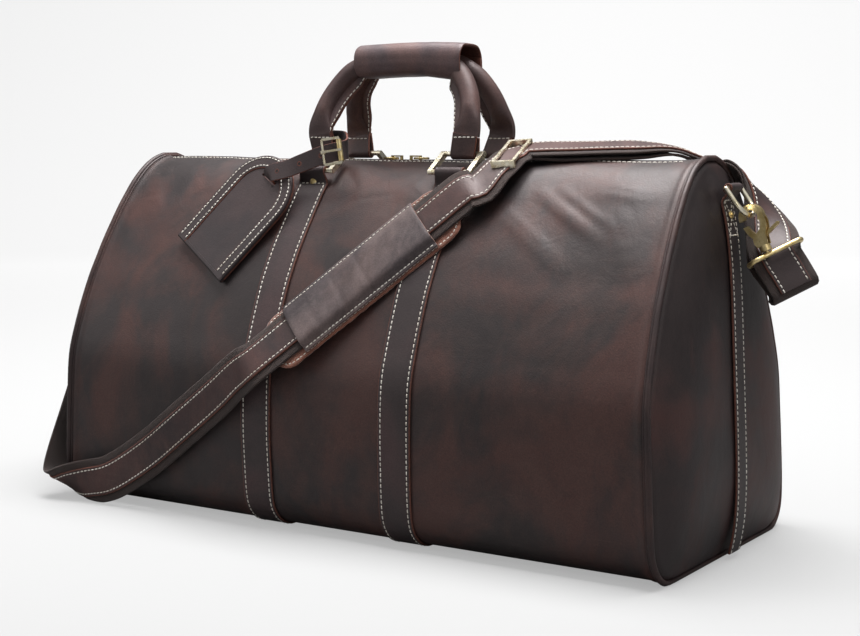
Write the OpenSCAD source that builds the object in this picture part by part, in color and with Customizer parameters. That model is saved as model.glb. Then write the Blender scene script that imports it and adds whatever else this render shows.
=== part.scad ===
// Leather duffel bag with two rolled handles, a two-slider zip, a luggage tag
// and a clip-on shoulder strap with a sliding pad.
// Millimetres, +Z up. The origin is on the ground at the middle of the base;
// X runs along the bag, -Y is the front and -X the left.

/* [Bag body] */
// Length of the bag between the end seams, at the base
body_l = 550; // [530:2:560]
// Inward lean of each end over the body height
end_lean = 15; // [9:1:18]
// Outward bulge of each end panel
end_bulge = 16; // [10:1:18]
// Thickness of the body leather
leather_t = 2.2; // [1.6:0.1:2.4]
// Radius of the piping cord
piping_r = 2.6; // [2:0.1:3]

/* [Strips] */
// Distance of each vertical strip from the middle of the bag
strip_x = 65; // [63:0.5:66]
// Width of the vertical strips
strip_w = 29; // [27:0.5:30]
// Width of the strip on each end
end_strip_w = 20; // [18:0.5:22]

/* [Handles] */
// Height of the middle of the handles above the ground
handle_top = 364.5; // [358:0.5:368]
// Radius of the rolled handles
handle_r = 8.4; // [7.6:0.1:8.6]
// Length of the wrap that holds the handles together
wrap_l = 100; // [92:2:102]

/* [Zip] */
// Half length of the zip
zip_half = 246; // [236:1:248]
// Pitch of the zip teeth
tooth_pitch = 8; // [6:0.5:12]

/* [Strap] */
// Width of the strap webbing
strap_web = 38; // [34:0.5:38]
// Width of the leather facing on the strap
strap_face = 25; // [20:0.5:28]
// Length of the pad sleeve
pad_l = 129; // [110:1:132]

/* [Tag] */
// Width of the luggage tag
tag_w = 71; // [60:1:72]
// Length of the luggage tag
tag_l = 104; // [92:1:106]

/* [Hidden] */

LEATHER = [0.20, 0.14, 0.13];
DARK = [0.15, 0.12, 0.12];
SUEDE = [0.42, 0.26, 0.20];
BRASS = [0.62, 0.50, 0.28];
CLOTH = [0.16, 0.12, 0.11];
BOARD = [0.35, 0.3, 0.25];
CORE = [0.7, 0.65, 0.55];

// ---------- general helpers ----------
function unit(v) = v / norm(v);

module to_left() mirror([1, 0, 0]) children();
module to_back() mirror([0, 1, 0]) children();

// Extrude a (y, z) outline along X
module extrude_x(from, to)
  translate([from, 0, 0]) rotate([90, 0, 90]) linear_extrude(to - from) children();
// Extrude an (x, z) outline along Y, centred
module extrude_y(width) rotate([90, 0, 0]) linear_extrude(width, center = true) children();
// Cylinder along X from x, through a (y, z) place
module rod_x(x, place, length, r, sides)
  translate([x, place[0], place[1]]) rotate([0, 90, 0]) cylinder(h = length, r = r, $fn = sides);
// Cylinder along Y, centred on y = 0, through an (x, z) place
module rod_y(place, length, r, sides)
  translate([place[0], length / 2, place[1]]) rotate([90, 0, 0])
    cylinder(h = length, r = r, $fn = sides);
// Rivet head: the top of a sphere sunk below the surface
module dome(sphere_r, sink, head_r, height, sides = 32) intersection() {
  translate([0, 0, -sink]) sphere(r = sphere_r, $fn = sides);
  cylinder(h = height, r = head_r, $fn = sides);
}
// Place children by three axes and an origin
module in_frame(x_axis, y_axis, z_axis, origin)
  multmatrix(concat([for (i = [0:2]) [x_axis[i], y_axis[i], z_axis[i], origin[i]]], [[0, 0, 0, 1]]))
    children();

// Catmull-Rom point on span i of a list of points, t from 0 to 1
function curve_point(points, i, t) = let (last = len(points) - 1,
    a = points[max(i - 1, 0)], b = points[i], c = points[min(i + 1, last)], d = points[min(i + 2, last)])
  0.5 * (2 * b + (c - a) * t + (2 * a - 5 * b + 4 * c - d) * t * t
    + (3 * b - a - 3 * c + d) * t * t * t);
function smooth(points, steps) = concat(
  [for (i = [0:len(points) - 2]) for (j = [0:steps - 1]) curve_point(points, i, j / steps)],
  [points[len(points) - 1]]);
// Smoothed points and width directions of a list of [point, direction] stations
function station_points(stations, steps) = smooth([for (s = stations) s[0]], steps);
function station_widths(stations, steps) =
  [for (w = smooth([for (s = stations) s[1]], steps)) unit(w)];
function dir(path, i) = unit(path[min(i + 1, len(path) - 1)] - path[max(i - 1, 0)]);
// Circle of points across a path at point i
function circle_at(path, i, r, count) =
  let (t = dir(path, i), u = unit(cross(t, [0, 1, 0])), v = cross(t, u))
  [for (k = [0:count - 1]) let (a = 360 * k / count) path[i] + r * (u * cos(a) + v * sin(a))];

// Four-sided faces between two rings of count points that start at indices a and b
function ring_faces(a, b, count) =
  [for (k = [0:count - 1]) let (next = (k + 1) % count) [a + k, b + k, b + next, a + next]];
function flipped(faces) = [for (f = faces) [f[0], f[3], f[2], f[1]]];
function side_faces(first, rows, count, stride) = [for (i = [0:rows - 2])
  for (f = ring_faces(first + i * stride, first + (i + 1) * stride, count)) f];
// Solid through rows of count points each
module loft(points, count) {
  rows = len(points) / count;
  polyhedron(points, concat(
    [[for (k = [0:count - 1]) k]],
    [[for (k = [count - 1:-1:0]) (rows - 1) * count + k]],
    side_faces(0, rows, count, count)));
}
// Round solid along a path
module tube(path, r, count)
  loft([for (i = [0:len(path) - 1]) for (p = circle_at(path, i, r, count)) p], count);
// Round solid along a path with a round hollow, open at both ends
module shell(path, outer_r, inner_r, count) {
  rows = len(path);
  stride = 2 * count;
  end = (rows - 1) * stride;
  polyhedron(
    [for (i = [0:rows - 1]) for (r = [outer_r, inner_r]) for (p = circle_at(path, i, r, count)) p],
    concat(
      flipped(ring_faces(0, count, count)),
      ring_faces(end, end + count, count),
      side_faces(0, rows, count, stride),
      flipped(side_faces(count, rows, count, stride))));
}
// Flat band along a path, between two heights over it
module flat_band(path, widths, half_w, low, high)
  loft([for (i = [0:len(path) - 1]) let (up = unit(cross(dir(path, i), widths[i])))
    for (c = [[1, low], [1, high], [-1, high], [-1, low]])
      path[i] + widths[i] * (half_w * c[0]) + up * c[1]], 4);

// ---------- section and ends of the body ----------
// Half section from the base seam to the zip: [distance from the middle, height]
half_section = [
  [85, 0], [97, 2], [106, 6.5], [113, 14], [116.6, 24], [117.8, 38], [118, 60], [117.8, 88],
  [117, 116], [114.5, 132], [110, 147], [105.5, 160], [100, 174], [93.5, 189], [86, 203],
  [78, 217.5], [69, 232], [60.5, 245], [53, 255], [45, 265], [36, 274], [27, 281], [18, 285.6],
  [8, 288.6]];
section_last = len(half_section) - 1;
body_h = 290;
end_set_in = 1.0;      // rim of each end panel inside the end seam
bulge_z = 135;         // height of the middle of the bulge
bulge_half_h = 150;
seam_inset = 4.6;      // ends of the panels inside the end seams
blank_half = 300;      // half length of pieces before the leaning ends trim them

// Outward normal of the half section at point i
function section_normal(i) =
  let (d = half_section[min(i + 1, section_last)] - half_section[max(i - 1, 0)])
  unit([d[1], -d[0]]);
function section_point(i, out) = half_section[i] + section_normal(i) * out;
// Band between two offsets of the half section, from point a to point b
function section_band(a, b, out_1, out_2) = concat(
  [for (i = [a:b]) section_point(i, out_1)],
  [for (i = [b:-1:a]) section_point(i, out_2)]);
// Whole closed section at an offset
function closed_section(out) = concat(
  [for (i = [0:section_last]) section_point(i, out)],
  [for (i = [section_last:-1:0]) let (p = section_point(i, out)) [-p[0], p[1]]]);
// End seam of the body at height z
function end_x(z) = body_l / 2 - end_lean * z / body_h;
// Outside of the right end panel on its centre line, moved outwards
function end_surface_x(z, out) = end_x(z) - end_set_in
  + end_bulge * (1 - pow(min(1, abs(z - bulge_z) / bulge_half_h), 5)) + out;

// Cutters reach from low to high, well past the body
cut_w = 400;
cut_low = -20;
cut_high = 420;
// Everything between the two leaning ends, inset inside them
module between_ends(inset) extrude_y(cut_w) polygon([
  [-end_x(cut_low) + inset, cut_low], [end_x(cut_low) - inset, cut_low],
  [end_x(cut_high) - inset, cut_high], [-end_x(cut_high) + inset, cut_high]]);
// A leaning slab at the right end, between two insets
module end_slab(near, far) extrude_y(cut_w) polygon([
  [end_x(cut_low) - far, cut_low], [end_x(cut_low) - near, cut_low],
  [end_x(cut_high) - near, cut_high], [end_x(cut_high) - far, cut_high]]);
module body_blank(out) extrude_x(-blank_half, blank_half) polygon(closed_section(out));

// ---------- body ----------
// Handle rivet on the section: [distance from the middle, height], and its tilt
rivet_place = (half_section[19] + half_section[20]) / 2 + [1.2, -1.2];
rivet_tilt = 45;
// Place a child on the front at the handle rivet, its Z outwards
module at_rivet(x)
  translate([x, -rivet_place[0], rivet_place[1]]) rotate([rivet_tilt, 0, 0]) children();
module rivet_hole() cylinder(h = 14, r = 1.9, center = true, $fn = 24);

module panel() difference() {
  intersection() {
    extrude_x(-blank_half, blank_half)
      mirror([1, 0]) polygon(section_band(0, section_last, 0, -leather_t));
    between_ends(seam_inset);
  }
  for (s = [-1, 1]) at_rivet(s * strip_x) rivet_hole();
}
module front_panel() color(LEATHER) panel();
module back_panel() color(LEATHER) to_back() panel();
module base_panel() color(LEATHER) intersection() {
  translate([-blank_half, -84, 0]) cube([2 * blank_half, 168, leather_t]);
  between_ends(seam_inset);
}

// End panel: a crowned sheet of rings shrinking from its rim to its centre
end_outline = closed_section(-1.9);
end_fractions = [1, 0.93, 0.82, 0.66, 0.45, 0.22];
end_sheet_t = 2.2;
function end_point(fraction, k, depth) =
  let (z = bulge_z + (end_outline[k][1] - bulge_z) * fraction)
  [end_x(z) - end_set_in + end_bulge * (1 - pow(fraction, 5)) - depth,
    end_outline[k][0] * fraction, z];
module end_sheet() {
  count = len(end_outline);
  rows = len(end_fractions);
  total = rows * count;
  last_ring = (rows - 1) * count;
  outer_centre = [end_x(bulge_z) - end_set_in + end_bulge, 0, bulge_z];
  polyhedron(
    concat(
      [for (depth = [0, end_sheet_t]) for (f = end_fractions) for (k = [0:count - 1])
        end_point(f, k, depth)],
      [outer_centre, outer_centre - [end_sheet_t, 0, 0]]),
    concat(
      side_faces(0, rows, count, count),
      [for (k = [0:count - 1]) [last_ring + k, 2 * total, last_ring + (k + 1) % count]],
      flipped(side_faces(total, rows, count, count)),
      [for (k = [0:count - 1]) let (a = total + last_ring)
        [a + k, a + (k + 1) % count, 2 * total + 1]],
      flipped(ring_faces(0, total, count))));
}
module end_panel_right() color(LEATHER) end_sheet();
module end_panel_left() color(LEATHER) to_left() end_sheet();

// Piping round the right end, cut off at the ground so that the bag rests flat
module piping() intersection() {
  extrude_x(200, 320) difference() {
    polygon(closed_section(piping_r));
    polygon(closed_section(-1.5));
  }
  end_slab(-1.6, 4.2);
  translate([0, -200, 0]) cube([400, 400, 400]);
}
module piping_right() color(DARK) piping();
module piping_left() color(DARK) to_left() piping();

// Thin lining, open at the top
lining_top = 262;
module lining() color(CLOTH) difference() {
  intersection() {
    body_blank(-2.7);
    between_ends(5.0);
    translate([-400, -200, 0]) cube([800, 400, lining_top]);
  }
  intersection() {
    body_blank(-3.6);
    between_ends(6.0);
  }
}
module base_board() color(BOARD) intersection() {
  translate([-blank_half, -82, 3.9]) cube([2 * blank_half, 164, 2.5]);
  between_ends(16);
}
// Slip pocket on the inside of the back
module inner_pocket() color(CLOTH) extrude_x(-90, 90) polygon(section_band(6, 12, -3.9, -4.9));

// ---------- zip ----------
module zip_tape() translate([-zip_half, -13, 283.2]) cube([2 * zip_half, 9.4, 0.9]);
module zip_tape_front() color(DARK) zip_tape();
module zip_tape_back() color(DARK) to_back() zip_tape();
// One row of teeth on its cord
module teeth(shift) {
  translate([-zip_half + 3, -3.4, 282.9]) cube([2 * zip_half - 6, 1.4, 1.6]);
  for (x = [-zip_half + 6 + shift:tooth_pitch:zip_half - 6])
    translate([x, -2.1, 282.6]) cube([1.8, 1.3, 2.4]);
}
module zip_teeth_front() color(BRASS) teeth(0);
module zip_teeth_back() color(BRASS) to_back() teeth(tooth_pitch / 2);
module zip_end_tabs() color(LEATHER) for (s = [-1, 1])
  translate([s * (zip_half + 4) - 3, -10, 283]) cube([6, 20, 1.4]);

slider_left_x = -13;
slider_right_x = 5;
pull_r = 5.6;
pull_z = 287.72;
// Slider: plates over and under the teeth, a post between them and a bridge on top
module slider() {
  for (z = [285.3, 281.0]) translate([-6, -4.6, z]) cube([12, 9.2, 1.2]);
  translate([-3, -0.6, 282.1]) cube([6, 1.2, 3.3]);
  for (s = [-1, 1]) translate([s * 4.4 - 0.8, -1.2, 286.4]) cube([1.6, 2.4, 3.2]);
  translate([-5.2, -1.2, 288.9]) cube([10.4, 2.4, 1.1]);
}
module zip_slider_left() color(BRASS) translate([slider_left_x, 0, 0]) slider();
module zip_slider_right() color(BRASS) translate([slider_right_x, 0, 0]) slider();
module pull() rotate_extrude($fn = 48) translate([pull_r, 0]) circle(r = 0.85, $fn = 20);
module zip_pull_left() color(BRASS) translate([slider_left_x - pull_r, 0, pull_z]) pull();
module zip_pull_right() color(BRASS) translate([slider_right_x + pull_r, 0, pull_z]) pull();

// ---------- strips and handle rings ----------
// Lower and upper bar of a front handle ring: [y, z]
lower_bar = [-43, 278];
upper_bar = [-24, 291.5];
ring_inner_w = 31;
ring_bar_r = 2;
bar_hole_r = 2.6;
strip_top_i = 20;      // section point at the upper end of the strip
// Link from the strip's upper end to the loop round the lower bar
link_w = 25;
link_half_t = 0.8;
link_start = [-section_point(strip_top_i, 1.1)[0], section_point(strip_top_i, 1.1)[1]];
link_dir = unit(link_start - lower_bar);
link_side = [-link_dir[1], link_dir[0]] * link_half_t;
// Clearance through a leather loop for a ring bar
module bar_hole(x, bar) rod_x(x - 20, bar, 40, bar_hole_r, 40);

module strip() difference() {
  union() {
    extrude_x(strip_x - strip_w / 2, strip_x + strip_w / 2)
      mirror([1, 0]) polygon(section_band(1, strip_top_i, 0.35, 1.95));
    extrude_x(strip_x - link_w / 2, strip_x + link_w / 2) polygon([
      link_start + link_side + link_dir * 0.6, link_start - link_side + link_dir * 0.6,
      lower_bar + link_dir * 3.6 - link_side, lower_bar + link_dir * 3.6 + link_side]);
    rod_x(strip_x - link_w / 2, lower_bar, link_w, 4.4, 40);
  }
  bar_hole(strip_x, lower_bar);
  at_rivet(strip_x) rivet_hole();
}
module strip_front_right() color(DARK) strip();
module strip_front_left() color(DARK) to_left() strip();
module strip_back_right() color(DARK) to_back() strip();
module strip_back_left() color(DARK) to_left() to_back() strip();

// Shank, washer inside the bag and domed head
module rivet() {
  translate([0, 0, -5]) cylinder(h = 7.4, r = 1.6, $fn = 24);
  translate([0, 0, -5.6]) cylinder(h = 0.9, r = 3.4, $fn = 24);
  translate([0, 0, 2.1]) dome(3.9, 1.6, 3.6, 4);
}
module handle_rivets() color(BRASS) for (m = [0, 1]) mirror([0, m, 0])
  for (s = [-1, 1]) at_rivet(s * strip_x) rivet();

// Rectangular ring between its two bars
module handle_ring() {
  span = upper_bar - lower_bar;
  length = norm(span);
  translate([0, lower_bar[0], lower_bar[1]]) rotate([atan2(span[1], span[0]), 0, 0]) {
    for (v = [0, length]) rod_x(-ring_inner_w / 2 - 1, [v, 0], ring_inner_w + 2, ring_bar_r, 32);
    for (s = [-1, 1]) translate([s * (ring_inner_w / 2 + 2), 0, 0]) {
      translate([-2, 0, -2.2]) cube([4, length, 4.4]);
      for (v = [0, length]) rod_x(-2, [v, 0], 4, 2.2, 32);
    }
  }
}
module ring_front_right() color(BRASS) translate([strip_x, 0, 0]) handle_ring();
module ring_front_left() color(BRASS) translate([-strip_x, 0, 0]) handle_ring();
module ring_back_right() color(BRASS) to_back() translate([strip_x, 0, 0]) handle_ring();
module ring_back_left() color(BRASS) to_back() translate([-strip_x, 0, 0]) handle_ring();

// ---------- handles ----------
// Left half of the front handle's centre line: [x, y, z]
half_handle = [
  [-71, -27, 305], [-71.5, -26, 314], [-69.5, -21.5, 326], [-65.5, -17, 337.5],
  [-58.5, -13, 348.5], [-49, -10.5, handle_top - 7], [-36, -9.6, handle_top - 1.5],
  [-18, -9.4, handle_top]];
function flip_x(points) =
  [for (i = [len(points) - 1:-1:0]) [-points[i][0], points[i][1], points[i][2]]];
handle_line = smooth(concat(half_handle, [[0, -9.4, handle_top]], flip_x(half_handle)), 2);
tab_x = strip_x + 2;
tab_w = 22;

module handle_core() tube([for (i = [1:len(handle_line) - 2]) handle_line[i]], 5.6, 10);
// Hollow leather cover with a flat tab folded round each ring
module handle_cover() {
  shell(handle_line, handle_r, 5.95, 12);
  for (s = [-1, 1]) difference() {
    union() {
      translate([s * tab_x, 0, 0]) extrude_x(-tab_w / 2, tab_w / 2) polygon([
        upper_bar + [-1.7, 3.4], upper_bar + [1.7, 3.4], [-24.9, 307.2], [-28.9, 307.2]]);
      rod_x(s * tab_x - tab_w / 2, upper_bar, tab_w, 4.3, 40);
    }
    bar_hole(s * strip_x, upper_bar);
  }
}
module front_handle_cover() color(LEATHER) handle_cover();
module back_handle_cover() color(LEATHER) to_back() handle_cover();
module front_handle_core() color(CORE) handle_core();
module back_handle_core() color(CORE) to_back() handle_core();

// ---------- wrap ----------
wrap_x = 8;
stud_half = 38;        // studs each side of the middle of the wrap
stud_z = handle_top - 5.5;

module handles_clear() for (m = [0, 1]) mirror([0, m, 0]) tube(handle_line, handle_r + 0.5, 12);
// Place a child at both studs, its Z towards the back
module at_studs(y) for (s = [-1, 1])
  translate([wrap_x + s * stud_half, y, stud_z]) rotate([-90, 0, 0]) children();
module rounded_square(corner, size, r)
  offset(r = r, $fn = 24) offset(delta = -r) translate(corner) square(size);

// Grip: front, bottom, front half of the top and a low lip behind the back handle
module wrap_grip() color(LEATHER) difference() {
  extrude_x(wrap_x - wrap_l / 2, wrap_x + wrap_l / 2) difference() {
    rounded_square([-21.8, handle_top - 12.2], [43, 26], 5);
    rounded_square([-19.3, handle_top - 9.8], [38.2, 21.1], 4);
    translate([-2.2, handle_top + 5]) square([60, 20]);
    translate([15, handle_top - 1.5]) square([20, 20]);
  }
  handles_clear();
}
// Flap: runs over the back handle and closes down over the back
module wrap_flap() color(LEATHER) difference() {
  extrude_x(wrap_x - wrap_l / 2 + 0.5, wrap_x + wrap_l / 2 - 0.5)
    translate([0, handle_top]) polygon([
      [-1.7, 11.4], [-1.7, 13.7], [20.6, 13.7], [22.4, 13.2], [23.5, 12], [23.8, 10.5],
      [23.8, -10.8], [21.6, -10.8], [21.6, 10.6], [21.0, 11.4]]);
  at_studs(18) cylinder(h = 10, r = 4.4, $fn = 40);
  handles_clear();
}
module wrap_studs() color(BRASS) at_studs(21.3) cylinder(h = 2.0, r = 2.2, $fn = 32);
module wrap_caps() color(BRASS) at_studs(23.95) dome(9.4, 7.4, 5.4, 3, sides = 40);

// ---------- ends: strip, rivet, D ring ----------
d_place = [277, 268];  // straight bar of the right D ring: [x, z]
d_tilt = 36;
d_side = 10;           // length of the straight sides
d_bend_r = 13.5;
d_wire_r = 1.9;
end_rivet_z = 249;

module at_end_rivet()
  translate([end_surface_x(end_rivet_z, 2.0), 0, end_rivet_z]) rotate([0, 72, 0]) children();
// Strip up the end, its link and the loop round the D ring
module end_strip() difference() {
  union() {
    extrude_y(end_strip_w) polygon(concat(
      [for (z = [5:8:261]) [end_surface_x(z, 0.4), z]],
      [for (z = [261:-8:5]) [end_surface_x(z, 2.0), z]]));
    extrude_y(end_strip_w) polygon([
      [end_surface_x(258, 0.4), 258], [end_surface_x(258, 2.0), 258],
      d_place + [1.6, -3.2], d_place + [-3.4, -1.2]]);
    rod_y(d_place, end_strip_w, 4.3, 40);
  }
  rod_y(d_place, 40, 2.5, 40);
  at_end_rivet() rivet_hole();
}
module end_strip_right() color(DARK) end_strip();
module end_strip_left() color(DARK) to_left() end_strip();
module end_rivets() color(BRASS) for (m = [0, 1]) mirror([m, 0, 0]) at_end_rivet() {
  translate([0, 0, 0.4]) dome(3.9, 2.0, 3.3, 4);
  translate([0, 0, -1.4]) cylinder(h = 1.6, r = 1.5, $fn = 24);
}
module d_ring() translate([d_place[0], 0, d_place[1]]) rotate([0, -d_tilt, 0]) {
  rod_y([0, 0], 2 * d_bend_r, d_wire_r, 32);
  for (s = [-1, 1]) {
    translate([0, s * d_bend_r, -d_side]) cylinder(h = d_side, r = d_wire_r, $fn = 32);
    translate([0, s * d_bend_r, 0]) sphere(r = d_wire_r, $fn = 32);
  }
  translate([0, 0, -d_side]) rotate([0, 90, 0]) rotate([0, 0, -90])
    rotate_extrude(angle = 180, $fn = 64) translate([d_bend_r, 0]) circle(r = d_wire_r, $fn = 32);
}
module d_ring_right() color(BRASS) d_ring();
module d_ring_left() color(BRASS) to_left() d_ring();

// ---------- snap hook ----------
hook_tilt = 26;
hook_drop = 1.2;       // hook centre below the middle of the D ring's bend
d_length = d_side + d_bend_r;
hook_down = [sin(hook_tilt), 0, -cos(hook_tilt)];
hook_centre = [d_place[0], 0, d_place[1]] + d_length * [sin(d_tilt), 0, -cos(d_tilt)]
  + hook_drop * hook_down;
pivot = [-1.5, -17.6]; // lever pivot: [x, z] in the hook's frame

module at_hook() translate(hook_centre) rotate([0, -hook_tilt, 0]) children();
// Open hook, two cheeks for the lever and a swivel socket
module hook_body() at_hook() {
  difference() {
    rod_y([0, 0], 5, 9.2, 64);
    rod_y([0, 0], 10, 5, 64);
    extrude_y(20) polygon([[0, 0], [-12, -0.6], [-12, -12], [6.2, -12], [5, -4.6]]);
  }
  for (s = [-1, 1]) translate([0, s * 2.5, 0]) extrude_y(1.6) difference() {
    polygon([[5.4, -2.6], [8.9, -2.4], [9.3, -6], [8.2, -11], [5.4, -15.6], [4.2, -22.2],
      [-4.2, -22.2], [-5.4, -19], [-4.8, -15.4], [-1.6, -13], [2.8, -10.6], [5.0, -6.6]]);
    translate(pivot) circle(r = 1.25, $fn = 24);
  }
  difference() {
    translate([0, 0, -26.4]) cylinder(h = 4.4, r = 4.2, $fn = 40);
    translate([0, 0, -27]) cylinder(h = 6, r = 1.75, $fn = 32);
    translate([0, 0, -23.4]) cylinder(h = 6, r = 2.9, $fn = 32);
  }
}
// Gate arm and thumb arm on one pivot
module hook_lever() at_hook() extrude_y(2.8) difference() {
  union() {
    translate(pivot) circle(r = 2.7, $fn = 32);
    polygon([pivot + [-2.6, 0.6], pivot + [1.2, 2.3], [-3.9, -9], [-5.2, -4.9], [-8.8, -4.9],
      [-7.6, -10.6]]);
    polygon([pivot + [-1, 2.4], pivot + [2.6, -0.6], [8, -15.6], [16.4, -12.4], [17, -10.9],
      [15.8, -10.4], [7.6, -13.1]]);
  }
  translate(pivot) circle(r = 1.3, $fn = 24);
}
module hook_pins() at_hook() rod_y(pivot, 7, 1.1, 24);
module stem() at_hook() {
  translate([0, 0, -29.6]) cylinder(h = 7, r = 1.35, $fn = 32);
  translate([0, 0, -23.3]) cylinder(h = 0.95, r = 2.5, $fn = 32);
}

// Oval eye at the end of each swivel stem
eye_half = 15;         // half length of its straight bars
eye_bend_r = 6.5;
eye_wire_r = 1.8;
stem_end = hook_centre + 29.2 * hook_down;
// Right eye: strap direction through it, its facing and its long axis
right_eye_run = unit([0.53, 0.0, -0.81]);
right_eye_face = unit(cross(right_eye_run, [0.61, 0.68, 0.40]));
right_eye_axis = unit(cross(right_eye_face, right_eye_run));
right_eye = stem_end + right_eye_axis * 8 - right_eye_face * eye_bend_r;
// Left eye: hangs in line with its stem; the strap passes round its lower bar
left_eye_down = [-hook_down[0], 0, hook_down[2]];
left_eye = [-stem_end[0], 0, stem_end[2]] + left_eye_down * eye_bend_r;
left_bar = left_eye + left_eye_down * eye_bend_r;

module oval(centre, axis, down) in_frame(axis, down, cross(axis, down), centre)
  for (s = [-1, 1]) {
    rod_x(-eye_half, [s * eye_bend_r, 0], 2 * eye_half, eye_wire_r, 32);
    translate([s * eye_half, 0, 0]) rotate([0, 0, -90 * s])
      rotate_extrude(angle = 180, $fn = 48) translate([eye_bend_r, 0])
        circle(r = eye_wire_r, $fn = 32);
  }
module hook_eye_right() color(BRASS) {
  stem();
  oval(right_eye, right_eye_axis, -right_eye_face);
}
module hook_eye_left() color(BRASS) {
  to_left() stem();
  oval(left_eye, [0, 1, 0], left_eye_down);
}
module hook_body_right() color(BRASS) hook_body();
module hook_body_left() color(BRASS) to_left() hook_body();
module hook_lever_right() color(BRASS) hook_lever();
module hook_lever_left() color(BRASS) to_left() hook_lever();
module hook_pins_right() color(BRASS) hook_pins();
module hook_pins_left() color(BRASS) to_left() hook_pins();

// ---------- strap ----------
// Frame on the sloping front: X along the bag, Y up the slope, Z outwards
slope = 62.1;
module on_slope() rotate([slope, 0, 0]) children();
function slope_point(x, up, out) =
  [x, up * cos(slope) - out * sin(slope), up * sin(slope) + out * cos(slope)];
// Pad centre, turn and height in that frame
pad_centre = [16, 131.3];
pad_angle = 45.5;
pad_out = 177.6;
function pad_point(s) =
  slope_point(pad_centre[0] + s * cos(pad_angle), pad_centre[1] + s * sin(pad_angle), pad_out);
pad_across = [-sin(pad_angle), cos(pad_angle) * cos(slope), cos(pad_angle) * sin(slope)];

// Strap from left to right: [point, direction across its width]
strap_stations = [
  [left_bar + [8.5, -14, -36], [0, -0.95, 0.3]], [left_bar + [5.6, -3, -18], [0, -1, 0.1]],
  [left_bar + [4.6, 0, -4], [0, -1, 0]], [left_bar + [3.2, 0, 2.6], [0, -1, 0]],
  [left_bar + [0, 0, 4.4], [0, -1, 0]], [left_bar + [-3.4, 0, 2.4], [0, -1, 0]],
  [left_bar + [-4.6, -0.5, -4], [0, -1, 0.05]], [left_bar + [-3.4, -5, -20], [0, -0.95, 0.3]],
  [left_bar + [1, -19, -44], [0, -0.88, 0.47]],
  [[-300, -44, 136], [0, -0.86, 0.5]], [[-293.5, -72, 98], [0, -0.88, 0.47]],
  [[-291.5, -92, 62], [0, -0.86, 0.5]], [[-289.5, -104.5, 36], [-0.15, -0.85, 0.5]],
  [[-284.5, -113.5, 18.5], [-0.4, -0.8, 0.45]], [[-274, -121.5, 13], [-0.58, -0.62, 0.52]],
  [[-258, -126, 14.6], [-0.58, -0.36, 0.68]], [[-240, -126.4, 17.4], [-0.53, -0.14, 0.8]],
  [[-214, -125.5, 24.5], [-0.48, -0.03, 0.86]], [[-174.4, -124.6, 48], [-0.5, 0, 0.86]],
  [[-132.5, -125, 79], [-0.58, 0.02, 0.81]], [[-100, -126.5, 103], [-0.64, 0.1, 0.76]],
  [[-78, -128.8, 120], [-0.68, 0.2, 0.7]],
  [pad_point(-106), pad_across], [pad_point(-66), pad_across], [pad_point(-33), pad_across],
  [pad_point(0), pad_across], [pad_point(33), pad_across], [pad_point(66), pad_across],
  [pad_point(103), pad_across],
  [[97.5, -55, 267.2], [-0.6, 0.52, 0.6]], [[103.5, -41.4, 279], [-0.42, 0.74, 0.52]],
  [[106.5, -26.5, 288], [-0.22, 0.88, 0.42]], [[111, -14, 293], [-0.05, 0.95, 0.3]],
  [[122, -7, 295.4], [0, 0.96, 0.27]], [[155, 0, 296], [0, 0.97, 0.24]],
  [[195, 9, 296.8], [0, 0.98, 0.2]], [[225, 23, 293.8], [0.1, 0.98, -0.12]],
  [[248, 38, 280.5], [0.1, 0.84, -0.53]], [[264, 42.5, 275], [0.05, 0.84, -0.54]],
  [[276.5, 42.5, 264], [0.12, 0.92, -0.36]], [[287.5, 36.5, 250.5], [0.28, 0.95, 0.0]],
  [right_eye + [-8.4, 14, 14.5], [0.46, 0.83, 0.32]],
  [right_eye, right_eye_axis], [right_eye + right_eye_run * 16, right_eye_axis],
  [right_eye + right_eye_run * 27, right_eye_axis]];
strap_steps = 3;
strap_line = station_points(strap_stations, strap_steps);
strap_widths = station_widths(strap_stations, strap_steps);
strap_last = len(strap_line) - 1;

// Beyond the right eye the strap turns back under itself and returns to the adjuster
adjuster_i = 31 * strap_steps + 1;
turn_r = 5.1;
turn_angles = [30:30:150];
turn_centre = strap_line[strap_last] - right_eye_face * turn_r;
return_range = [strap_last - 1:-1:adjuster_i + 1];
// Gap under the strap, widest round the bar of the eye
function return_gap(i) = let (d = norm(strap_line[i] - right_eye)) 2.6 + 7.9 * exp(-d * d / 500);
function return_point(i) =
  strap_line[i] - unit(cross(dir(strap_line, i), strap_widths[i])) * return_gap(i);
web_line = concat(strap_line,
  [for (a = turn_angles)
    turn_centre + right_eye_face * (turn_r * cos(a)) + right_eye_run * (turn_r * sin(a))],
  [for (i = return_range) return_point(i)]);
web_widths = concat(strap_widths,
  [for (a = turn_angles) right_eye_axis],
  [for (i = return_range) strap_widths[i]]);

module strap_webbing() color(CLOTH) flat_band(web_line, web_widths, strap_web / 2, -1.1, 1.1);
module strap_facing() color(LEATHER) {
  range = [7 * strap_steps:strap_last + 1];
  flat_band([for (i = range) web_line[i]], [for (i = range) web_widths[i]],
    strap_face / 2, 1.25, 2.55);
}
// Side plates and two cross bars round the strap on top of the bag
module strap_adjuster() color(BRASS) {
  across = strap_widths[adjuster_i];
  up = unit(cross(dir(strap_line, adjuster_i), across));
  in_frame(across, cross(across, up), up, strap_line[adjuster_i]) for (s = [-1, 1]) {
    translate([s * 20.6 - 1.2, -9.5, -2.4]) cube([2.4, 19, 7.4]);
    translate([-21.8, s * 8.2 - 1.3, 3.2]) cube([43.6, 2.6, 1.8]);
  }
}

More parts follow.
